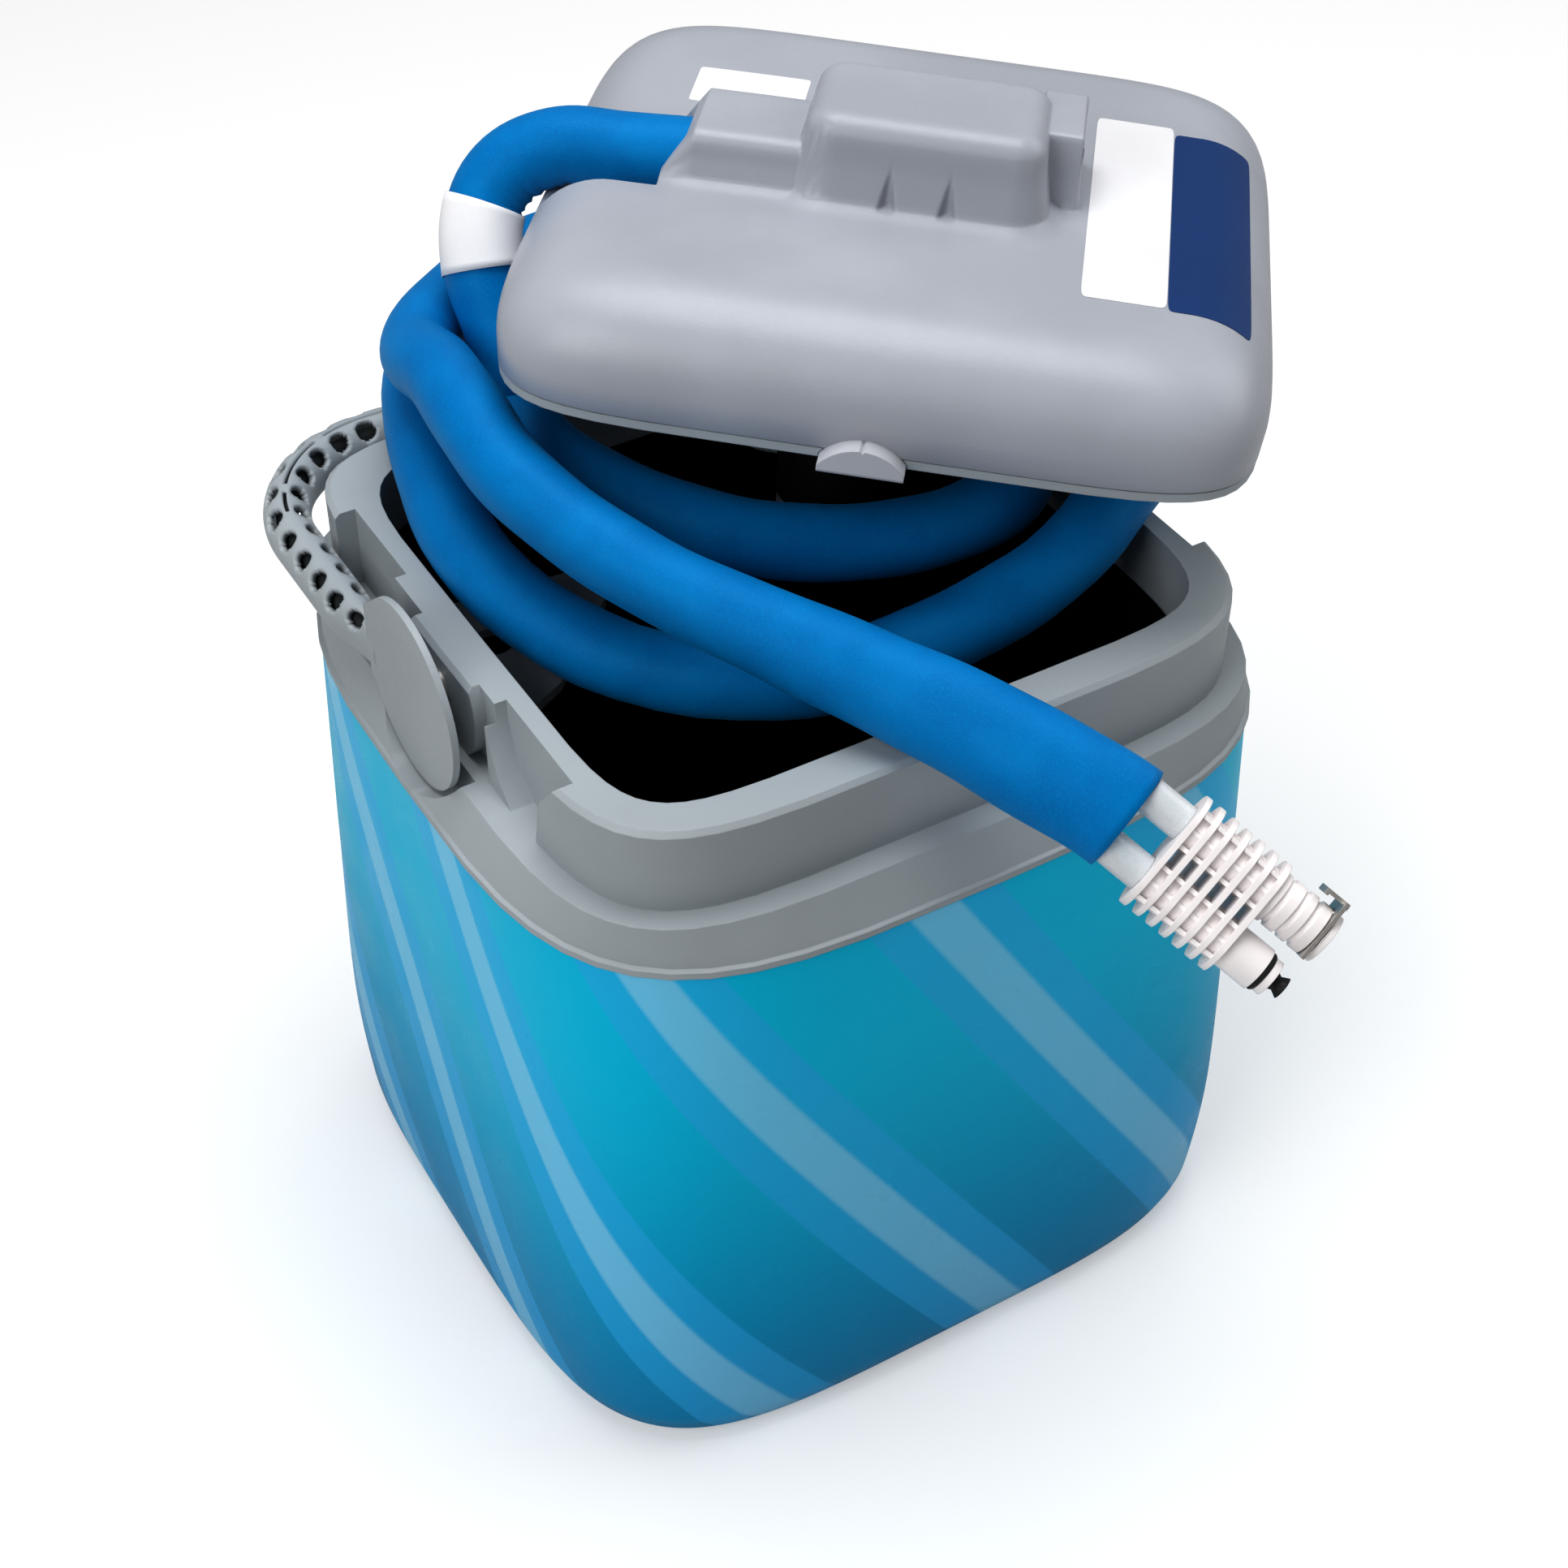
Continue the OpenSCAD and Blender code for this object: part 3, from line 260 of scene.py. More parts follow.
def foamSleeve():
    # closed-cell foam skin: satin, speckled, with a soft sheen towards its edges
    material, tree, shader = newMaterial("blueFoam", {
        "Roughness": 0.5, "Specular IOR Level": 0.35, "Specular Tint": (0.15, 0.65, 1, 1), "Sheen Weight": 0.12,
        "Sheen Roughness": 0.4, "Sheen Tint": (0.1, 0.6, 1, 1)})
    place = objectPlace(tree)
    speck = addNode(tree, "ShaderNodeTexNoise", {"Vector": place, "Scale": 2200.0, "Detail": 3.0})
    cloud = addNode(tree, "ShaderNodeTexNoise", {"Vector": place, "Scale": 60.0, "Detail": 3.0})
    base = mixColour(tree, rampOf(tree, cloud.outputs[0], 0.35, 0.65), (0.0, 0.18, 0.47, 1), (0.0, 0.21, 0.52, 1))
    colour = mixColour(tree, rampOf(tree, speck.outputs[0], 0.4, 0.9), base, (0.0, 0.26, 0.6, 1))
    tree.links.new(colour, shader.inputs["Base Color"])
    bump = addNode(tree, "ShaderNodeBump", {"Strength": 0.35, "Distance": 0.0002, "Height": speck.outputs[0]})
    tree.links.new(bump.outputs[0], shader.inputs["Normal"])
    return material


blueFoam = foamSleeve()
print("stage: materials")


hose = {"radius": 10.5, "sides": 40, "spacing": 2.0, "endWide": 14.2, "endThick": 8.6,
        "leadWide": 10.4, "leadThick": 9.4, "flatFrom": 150.0}
leadRoute = np.array([
    (-4, 75.7, 316.2), (-16, 84.7, 317.2), (-27, 90.7, 313.2), (-36, 91.7, 306.2), (-42, 87.7, 297.2),
    (-45, 80.7, 286.2), (-45, 72.7, 275.2), (-45.5, 64.7, 263.2)])
endRoute = np.array([
    (99.5, -6.3, 259.8), (98.5, 25.7, 263.8), (80, 65.7, 265.2), (47, 94.7, 267.2), (10, 107.7, 271.2),
    (-23, 109.2, 271.2), (-49, 98.7, 270.2), (-66.5, 80.7, 271.2), (-70, 57.7, 277.2), (-72, 35.7, 277.2),
    (-72, 14.7, 273.2), (-67, -5.3, 268.2), (-58, -25.3, 263.2), (-46, -44.3, 258.2), (-33, -63.3, 254.2),
    (-20, -82.3, 250.2), (-8, -102.3, 246.2), (3.5, -122.8, 241.2)])
coilTurns = (0.21, 1.57)


def coilPoint(turns):
    # an oval that widens as it winds down, leaning over its own bulge
    a = np.radians(155 + 360 * turns)
    w = turns - 0.3
    swell = 1 + 0.02 * np.cos(3 * a) + 0.073 * np.sin(3 * a)
    x, y = (72 + 25.8 * w) * np.cos(a) * swell, (46.1 + 27.1 * w) * np.sin(a) * swell
    c, s = np.cos(np.radians(44.5)), np.sin(np.radians(44.5))
    dx, dy = x * c + y * s, y * c - x * s
    return np.stack([5.7 - 3.2 * w + dx, 38.8 - 7 * w + dy,
                     242.9 + 1.2 * w + (0.274 * w - 0.153) * dx + (0.197 * w - 0.017) * dy
                     + 2 * np.sin(2 * a)], -1)


def direction(v):
    return v / np.linalg.norm(v)


def hoseLine():
    away = lidPlace["turned"] @ np.array([-1.0, 0, 0])
    start = placed(np.array([-58.0, -10, 33]), lidPlace)
    coil = coilPoint(np.linspace(*coilTurns, 90))
    firstWay = direction(coil[1] - coil[0])
    lastWay = direction(coil[-1] - coil[-2])
    coilStart = coil[0] - 2 * hose["radius"] * firstWay
    coilEnd = coil[-1] + 2 * hose["radius"] * lastWay
    lead = smoothRoute(np.vstack([start, leadRoute, coilStart]), 8, away, firstWay)
    end = smoothRoute(np.vstack([coilEnd, endRoute, couplingPlace["centre"]]), 8, lastWay,
                      couplingPlace["turned"] @ np.array([1.0, 0, 0]))
    return evenly(np.vstack([lead[:-1], coilStart, coil, end]), hose["spacing"])


def buildHose():
    line, at = hoseLine()
    lidUp = lidPlace["turned"] @ np.array([0, 0, 1.0])
    tubeSide = couplingPlace["turned"] @ np.array([0, 1.0, 0])
    way, side, other = carriedSides(line, np.cross(lidUp, line[1] - line[0]), tubeSide)
    left = at[-1] - at
    flat = np.clip(1 - left / hose["flatFrom"], 0, 1)
    flat = flat ** 2 * (3 - 2 * flat)
    wide = hose["radius"] + (hose["endWide"] - hose["radius"]) * flat
    thick = hose["radius"] + (hose["endThick"] - hose["radius"]) * flat
    a = np.arange(hose["sides"]) * 2 * np.pi / hose["sides"]
    # slow swelling along the sleeve and fine cross creases on the inside of tight bends
    rng = np.random.default_rng(4)
    slow = sum(np.sin(at[:, None] * f + p + np.cos(a + q)) for f, p, q in
               [(0.045, *rng.uniform(0, 6, 2)), (0.11, *rng.uniform(0, 6, 2)), (0.21, *rng.uniform(0, 6, 2))])
    bend = np.gradient(way, axis=0) / hose["spacing"]
    inward = (side * bend).sum(1)[:, None] * np.cos(a) + (other * bend).sum(1)[:, None] * np.sin(a)
    creased = np.clip((inward - 0.022) / 0.02, 0, 1)
    ripple = np.sin(at[:, None] * 1.15 + 0.7 * np.sin(at[:, None] * 0.31))
    push = 0.12 * slow + creased * (0.45 * ripple - 0.3)
    ring = line[:, None, :] + side[:, None, :] * ((wide[:, None] + push) * np.cos(a))[..., None] \
        + other[:, None, :] * ((thick[:, None] + push) * np.sin(a))[..., None]
    # the sleeve's cut end turns in to a shallow hollow with the two tubes in it
    m = len(line)
    caps = []
    for shrink, depth in ((0.93, 0.25), (0.86, 0.0), (0.8, -1.2), (0.3, -1.6)):
        caps.append(line[-1] + (ring[-1] - line[-1]) * shrink + way[-1] * depth)
    verts = np.vstack([ring.reshape(-1, 3), np.vstack(caps)])
    rows = m + len(caps)
    faces = gridFaces(rows, hose["sides"]).tolist()
    faces.append(list(range((rows - 1) * hose["sides"], rows * hose["sides"])))
    faces.append(list(range(hose["sides"]))[::-1])
    obj = makeObject("foamHose", verts, faces, "lid")
    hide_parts("hose_lead", "hose_coil", "hose_end")
    give(obj, blueFoam)


buildHose()
print("stage: hose")


def carriedTube(line, side, other, radii, turns, name, body):
    # rings of given radii round each point of a line, closed on themselves through a wall and its ends
    a = np.arange(turns) * 2 * np.pi / turns
    ring = np.cos(a)[None, :, None] * side[:, None, :] + np.sin(a)[None, :, None] * other[:, None, :]
    outer = line[:, None, :] + ring * radii[0][..., None]
    inner = line[:, None, :] + ring * radii[1][..., None]
    verts = np.concatenate([outer, inner[::-1]]).reshape(-1, 3)
    faces = gridFaces(2 * len(line), turns)
    last = 2 * len(line) - 1
    c = np.arange(turns)
    close = np.stack([last * turns + c, last * turns + (c + 1) % turns, (c + 1) % turns, c], -1)
    return makeObject(name, verts, np.vstack([faces, close]), body)


band = {"from": 66.0, "to": 86.0, "radius": 11.5, "paper": 0.22}


def buildBand():
    # paper round the sleeve: a short tube along the hose, a little oval, one edge curling outwards
    line, at = hoseLine()
    lidUp = lidPlace["turned"] @ np.array([0, 0, 1.0])
    side, other = carriedSides(line, np.cross(lidUp, line[1] - line[0]), None)[1:]
    keep = (at >= band["from"]) & (at <= band["to"])
    along = ((at[keep] - band["from"]) / (band["to"] - band["from"]))[:, None]
    a = np.arange(72)[None, :] * 2 * np.pi / 72
    outer = band["radius"] + 0.25 * np.cos(2 * a + 0.6) + 0.12 * np.sin(5 * a + 2 * along) \
        + 0.55 * np.clip(along - 0.72, 0, 1) ** 2 / 0.08 * (0.6 + 0.4 * np.cos(a - 1.2))
    obj = carriedTube(line[keep], side[keep], other[keep], (outer, outer - band["paper"]), 72, "paperBand", "lid")
    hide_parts("hose_band")
    give(obj, paper)


buildBand()
print("stage: band")


def calc(tree, operation, *values):
    return addNode(tree, "ShaderNodeMath", dict(enumerate(values)), operation=operation).outputs[0]


tub = {"hx": 115.0, "hy": 111.0, "flare": 3.2, "top": 195.0, "wall": 2.6, "count": 480}


film = {"foot": (0.0, 0.29, 0.55, 1), "top": (0.0, 0.58, 0.84, 1), "footAt": 0.01, "topAt": 0.17,
        "stripes": 10, "lean": 48.0, "soft": 0.10,
        "bands": ((-0.05, (0.04, 0.50, 0.92, 1), 0.55), (0.78, (0.45, 0.82, 0.98, 1), 0.45))}


def printedFilm(girth):
    # blue that deepens towards the foot, under even slanting stripes: a wave with a whole number of
    # crests round the tub, so that the stripes meet behind; each band is the part above a level
    material, tree, shader = newMaterial("printedShell", {
        "Roughness": 0.32, "Specular IOR Level": 0.12, "Specular Tint": (0.1, 0.7, 1, 1)})
    around = addNode(tree, "ShaderNodeUVMap", uv_map="around").outputs[0]
    split = addNode(tree, "ShaderNodeSeparateXYZ", {0: around})
    across, up = split.outputs[0], split.outputs[1]
    colour = mixColour(tree, rampOf(tree, up, film["footAt"], film["topAt"]), film["foot"], film["top"])
    wave = calc(tree, "SINE", calc(tree, "MULTIPLY_ADD", across, float(2 * np.pi * film["stripes"] / girth),
                                   calc(tree, "MULTIPLY", up, film["lean"])))
    for level, tint, strength in film["bands"]:
        stripe = rampOf(tree, wave, level, level + film["soft"])
        colour = mixColour(tree, calc(tree, "MULTIPLY", stripe, strength), colour, tint)
    tree.links.new(colour, shader.inputs["Base Color"])
    skin = addNode(tree, "ShaderNodeTexNoise", {"Vector": objectPlace(tree), "Scale": 45.0, "Detail": 2.0})
    tree.links.new(rampOf(tree, skin.outputs[0], 0.3, 0.7, 0.26, 0.36), shader.inputs["Roughness"])
    bump = addNode(tree, "ShaderNodeBump", {"Strength": 0.1, "Distance": 0.0003, "Height": skin.outputs[0]})
    tree.links.new(bump.outputs[0], shader.inputs["Normal"])
    return material


def buildShell():
    # outlines stacked from the underside up the outside, over the top edge and down the inside;
    # between the measured heights the inset follows a smooth curve
    f, w = tub["flare"], tub["wall"]
    known = np.array([(1.0, 5.5, 4.6), (2.2, 3.0, 4.5), (6, 0.5, 4.3), (13, 1.6 - f, 4.2), (48, -f, 4.2),
                      (120, -0.45 * f, 4.1), (tub["top"], 0, 3.74)])
    z = np.concatenate([[1.0, 1.25, 1.6, 2.2, 3, 4, 5, 6, 7.5, 9, 11, 13], np.linspace(17, tub["top"], 36)])
    inset = smoothSteps(known[:, 0], known[:, 1], z)
    n = np.interp(z, known[:, 0], known[:, 2])
    keep = z >= 6
    insets = np.concatenate([[100, 30, 28.6, 8.5], inset, inset[keep][::-1] + w, [10, 100]])
    squares = np.concatenate([[4.6, 6, 6, 4.8], n, n[keep][::-1], [4.6, 4.6]])
    heights = np.concatenate([[2.4, 2.4, 1.0, 1.0], z, z[keep][::-1], [3.8, 3.8]])
    a = np.arange(tub["count"]) * 2 * np.pi / tub["count"]
    hx, hy, m = (v[:, None] for v in (tub["hx"] - insets, tub["hy"] - insets, squares))
    reach = (np.abs(np.cos(a) / hx) ** m + np.abs(np.sin(a) / hy) ** m) ** (-1 / m)
    verts = np.stack([reach * np.cos(a), reach * np.sin(a), np.broadcast_to(heights[:, None], reach.shape)], -1)
    rows, cols = reach.shape
    faces = gridFaces(rows, cols).tolist()
    faces.append(list(range(cols))[::-1])
    faces.append(list(range((rows - 1) * cols, rows * cols)))
    obj = makeObject("printedTub", verts.reshape(-1, 3), faces, "tub")
    obj.data.set_sharp_from_angle(angle=np.radians(50))
    # across is the way round from the front's middle, up is the height, both in metres
    widest = verts[rows // 3]
    run = np.concatenate([[0], np.cumsum(np.linalg.norm(np.roll(widest, -1, 0) - widest, axis=1))])
    corner = np.empty(len(obj.data.loops), np.int32)
    obj.data.loops.foreach_get("vertex_index", corner)
    col, level = corner % cols, corner // cols
    across = run[col] - run[3 * cols // 4]
    # each quad keeps its corners on one side of the place where the way round starts again
    quads = across[:(rows - 1) * cols * 4].reshape(-1, 4)
    quads -= run[-1] * np.round((quads - quads[:, :1]) / run[-1])
    layer = obj.data.uv_layers.new(name="around")
    layer.data.foreach_set("uv", (np.stack([across, heights[level]], -1) * mm).reshape(-1))
    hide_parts("outer_shell")
    give(obj, printedFilm(run[-1] * mm))


def smoothSteps(x, y, at):
    # cubic between known points with slopes that never overshoot them
    h, slope = np.diff(x), np.diff(y) / np.diff(x)
    product, total = slope[:-1] * slope[1:], slope[:-1] + slope[1:]
    inner = np.where(product > 0, 2 * product / np.where(total == 0, 1, total), 0)
    d = np.concatenate([[slope[0]], inner, [slope[-1]]])
    i = np.clip(np.searchsorted(x, at) - 1, 0, len(x) - 2)
    t = (at - x[i]) / h[i]
    return (y[i] * (1 + 2 * t) * (1 - t) ** 2 + y[i + 1] * t * t * (3 - 2 * t)
            + h[i] * (d[i] * t * (1 - t) ** 2 + d[i + 1] * t * t * (t - 1)))


buildShell()
print("stage: tub")

lid = {"hx": 100.8, "hy": 100.4, "n": 7.0, "high": 33.0, "edge": 23.0, "seam": 2.6, "wall": 2.6,
       "bulgeAt": (2.5, -8.0), "bulgeHalf": (34.5, 24.0), "bulgeHigh": 24.0, "bulgeCorner": 11.0,
       "snoutFrom": -58.0, "snoutFoot": -67.0, "snoutHalf": 18.0, "snoutHigh": 14.0, "hoseY": -10.0,
       "channelHalf": 20.3, "channelDeep": 14.0, "channelTo": -61.5, "grooves": (-5.2, 10.7)}


def eased(v):
    v = np.clip(v, 0, 1)
    return v * v * (3 - 2 * v)


def roundedInside(x, y, at, half, corner):
    # how far a point lies inside a rectangle with round corners; negative outside
    qx = np.abs(x - at[0]) - (half[0] - corner)
    qy = np.abs(y - at[1]) - (half[1] - corner)
    return corner - np.hypot(np.maximum(qx, 0), np.maximum(qy, 0)) - np.minimum(np.maximum(qx, qy), 0)


def risen(inside, draft, shoulder, foot, footHigh):
    # share of a raised form's height: a concave foot, a steep drafted wall, then a round shoulder
    wall = 0.62 * np.clip(inside / draft, 0, 1)
    top = 0.38 * (1 - (1 - np.clip((inside - draft * 0.8) / shoulder, 0, 1)) ** 2.4) ** (1 / 2.0)
    skirt = footHigh * np.clip(1 + inside / foot, 0, 1) ** 2.2
    return np.maximum(np.minimum(wall + top, 1), 0) * (1 - skirt) + skirt


def lidHeight(x, y):
    # dome with round long edges, plus the bulge, the snout and the socket's boss, less the channel
    reach = (np.abs(x / lid["hx"]) ** lid["n"] + np.abs(y / lid["hy"]) ** lid["n"]) ** (1 / lid["n"])
    d = np.clip(lid["hx"] * (1 - reach), 0, None)
    r = lid["edge"]
    dome = lid["high"] - r + np.sqrt(np.maximum(r * r - (r - np.minimum(d, r)) ** 2, 0))
    dome = dome + 0.7 * eased((d - 8) / 60)
    bulge = lid["bulgeHigh"] * risen(roundedInside(x, y, lid["bulgeAt"], lid["bulgeHalf"], lid["bulgeCorner"]),
                                     2.6, 7.5, 6.5, 0.10)
    sideIn = lid["snoutHalf"] - np.abs(y - lid["hoseY"])
    snout = lid["snoutHigh"] * risen(sideIn, 2.0, 5.5, 5.0, 0.13)
    snout = snout * np.clip((x - lid["snoutFoot"]) / (lid["snoutFrom"] - lid["snoutFoot"]), 0, 1) ** 0.9
    snout = snout * (x < lid["bulgeAt"][0])
    boss = 20.5 * risen(roundedInside(x, y, (37.4, 2.0), (7.2, 15.5), 1.6), 1.0, 1.0, 1.5, 0.04)
    raised = np.maximum(np.maximum(bulge, snout), boss)
    off = np.abs(y - lid["hoseY"])
    inChannel = np.minimum(lid["channelHalf"] - off, lid["channelTo"] - 5.5 * eased((off - 10.5) / 3) - x)
    floor = np.minimum(dome, lid["high"] - lid["channelDeep"])
    share = eased((inChannel + 0.7) / 1.6)
    return (dome + raised) * (1 - share) + floor * share


def cluster(spans, low, high, coarse):
    # grid lines: fine inside the given spans, coarse between them
    at, lines = low, [low]
    while at < high:
        step = next((s for a, b, s in spans if a <= at < b), coarse)
        ahead = [a for a, b, s in spans if at < a < at + step]
        at = min(ahead[0] if ahead else at + step, high)
        lines.append(at)
    lines = np.array(lines)
    return lines[np.concatenate([[True], np.diff(lines) > 0.12])]


def buildLid():
    # square grid drawn out to the lid's outline near its edge, lifted to the height above
    curl = 1 - np.cos(np.linspace(0, np.pi / 2, 15))
    flatX, flatY = lid["hx"] - lid["edge"], lid["hy"] - lid["edge"]
    xs = cluster([(-69, -56, 0.35), (-40, -28, 0.8), (-8.5, -2, 0.45), (7.5, 14, 0.45),
                  (27, 31, 0.8), (31, 39, 0.4), (39, 47, 0.3)], -flatX, flatX, 2.4)
    ys = cluster([(-40, -32.5, 0.7), (-32.5, -26, 0.28), (-26, -20, 0.55), (-14.5, -12, 0.3), (2, 5, 0.5),
                  (5, 9.5, 0.3), (9.5, 17, 0.45), (17, 22, 1.0)], -flatY, flatY, 2.4)
    ends = lid["edge"] * curl[:-1]
    xs = np.concatenate([-lid["hx"] + ends, xs, (lid["hx"] - ends)[::-1]])
    ys = np.concatenate([-lid["hy"] + ends, ys, (lid["hy"] - ends)[::-1]])
    u, v = np.meshgrid(xs / lid["hx"], ys / lid["hy"])
    out = np.maximum(np.maximum(np.abs(u), np.abs(v)), 1e-9)
    reach = (np.abs(u / out) ** lid["n"] + np.abs(v / out) ** lid["n"]) ** (1 / lid["n"])
    pull = eased((out - 0.68) / 0.28)
    scale = 1 - pull + pull / reach
    x, y = u * scale * lid["hx"], v * scale * lid["hy"]
    z = lidHeight(x, y)
    # two narrow wedges pressed into the bulge's front wall
    frontY = lid["bulgeAt"][1] - lid["bulgeHalf"][1]
    for at in lid["grooves"]:
        tall = np.clip((46.5 - z) / 10.8, 0, 1) * (z > 35.6)
        into = np.clip(1.5 - 1.5 * np.abs(x - at) / (0.3 + 2.3 * tall), 0, 1) * (tall > 0)
        y = y + 2.8 * into * tall * (np.abs(y - frontY - 1.5) < 4)
    rows, cols = z.shape
    top = np.stack([x, y, z], -1).reshape(-1, 3)
    index = np.arange(rows * cols).reshape(rows, cols)
    rim = np.concatenate([index[0, :-1], index[:-1, -1], index[-1, :0:-1], index[:0:-1, 0]])
    edge = top[rim]
    inside = []
    for inset, height in ((0.4, lid["seam"] + 0.3), (0.75, lid["seam"]), (lid["wall"], lid["seam"]),
                          (lid["wall"], 10), (5.5, 14), (12, 16), (22, 16.4), (60, 16.4)):
        ring = edge * (1 - np.array([inset / lid["hx"], inset / lid["hy"], 0]))
        ring[:, 2] = height
        inside.append(ring)
    k = len(rim)
    verts = np.vstack([top] + inside)
    skirt = np.concatenate([rim, rows * cols + np.arange(k * len(inside))])
    c = np.arange(k)
    walls = np.concatenate([np.stack([skirt[j * k + c], skirt[(j + 1) * k + c], skirt[(j + 1) * k + (c + 1) % k],
                                      skirt[j * k + (c + 1) % k]], -1) for j in range(len(inside))])
    faces = np.vstack([gridFaces(rows, cols, closed=False), walls]).tolist()
    faces.append((rows * cols + (len(inside) - 1) * k + c[::-1]).tolist())
    obj = makeObject("lidDome", placed(verts, lidPlace), faces, "lid", smoothAngle=60)
    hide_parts("lid_shell")
    give(obj, lidGrey)
    print("lid triangles", 2 * len(faces))


def buildPlate(name, low, high, lift, material, corner=26.0, thick=0.14):
    # thin bare plate on the dome: a square grid rounded at its corners, laid on the lid's height
    s = np.linspace(-1, 1, 41)
    u, v = np.meshgrid(s, s)
    out = np.maximum(np.maximum(np.abs(u), np.abs(v)), 1e-9)
    reach = np.maximum((np.abs(u / out) ** corner + np.abs(v / out) ** corner) ** (1 / corner), 1)
    x = (low[0] + high[0]) / 2 + (high[0] - low[0]) / 2 * u / reach
    y = (low[1] + high[1]) / 2 + (high[1] - low[1]) / 2 * v / reach
    z = lidHeight(x, y) + lift
    bottom = np.stack([x, y, z - thick], -1).reshape(-1, 3)
    top = np.stack([x, y, z], -1).reshape(-1, 3)
    n = len(s)
    index = np.arange(n * n).reshape(n, n)
    rim = np.concatenate([index[0, :-1], index[:-1, -1], index[-1, :0:-1], index[:0:-1, 0]])
    nextRim = np.roll(rim, -1)
    sides = np.stack([rim + n * n, nextRim + n * n, nextRim, rim], -1)
    faces = np.vstack([gridFaces(n, n, closed=False), gridFaces(n, n, closed=False)[:, ::-1] + n * n, sides])
    obj = makeObject(name, placed(np.vstack([top, bottom]), lidPlace), faces, "lid", smoothAngle=50)
    give(obj, material)


lidGrey = mouldedPlastic("lidGrey", (0.44, 0.46, 0.51), roughness=0.37, grain=0.3)
buildLid()
plateWhite = mouldedPlastic("plateWhite", (0.86, 0.86, 0.88), roughness=0.5, grain=0.15, edge=0.05)
buildPlate("whitePlate", (47.6, -60.0), (69.6, 50.0), 0.18, plateWhite)
plateNavy = mouldedPlastic("plateNavy", (0.006, 0.05, 0.19), roughness=0.42, grain=0.15, edge=0.05)
buildPlate("navyPlate", (69.8, -61.0), (92.0, 46.0), 0.18, plateNavy)
buildPlate("smallPlate", (-67.0, 24.5), (-35.0, 48.0), 0.18, plateWhite)
print("stage: lid")

grip = {"armX": 109.0, "endX": 108.0, "y0": 22.0, "yBend": 79.0, "bend": 38.2, "z": 221.5, "halfWide": 6.8,
        "endWide": 3.2, "halfHigh": 7.7, "holes": 35, "pitch": 10.4, "hole": 3.5, "holeAt": 5.3, "slot": 0.7,
        "slotLong": 22.0, "slotGap": 3.5, "wall": 2.0, "cutY": 26.0, "discFrom": 105.2, "discTo": 109.0,
        "pivotZ": 224.5, "hub": 15.0}


def gripPoint(s, v, shrink=0.0):
    # plan path: arm, quarter bend, back, quarter bend, arm; the section is an ellipse whose angle
    # runs with v, the way round from its top towards the loop's outside
    arm, bend = grip["yBend"] - grip["y0"], grip["bend"]
    arc, back = bend * np.pi / 2, 2 * (grip["armX"] - bend)
    half = arm + arc + back / 2
    d = half - np.abs(s - half)
    sign = np.where(s < half, -1.0, 1.0)
    angle = np.clip((d - arm) / bend, 0, np.pi / 2)
    over = np.clip(d - arm - arc, 0, None)
    taper = eased(d / 26)
    armX = grip["endX"] + (grip["armX"] - grip["endX"]) * taper
    x = armX - bend + bend * np.cos(angle) - over
    y = grip["y0"] + np.minimum(d, arm) + bend * np.sin(angle)
    wide = grip["endWide"] + (grip["halfWide"] - grip["endWide"]) * taper - shrink * (0.4 + 0.6 * taper)
    a = np.pi / 2 - v / 7.25
    out = wide * np.cos(a)
    return np.stack([sign * (x + out * np.cos(angle)), y + out * np.sin(angle),
                     grip["z"] + (grip["halfHigh"] - shrink) * np.sin(a) + 0 * s], -1)


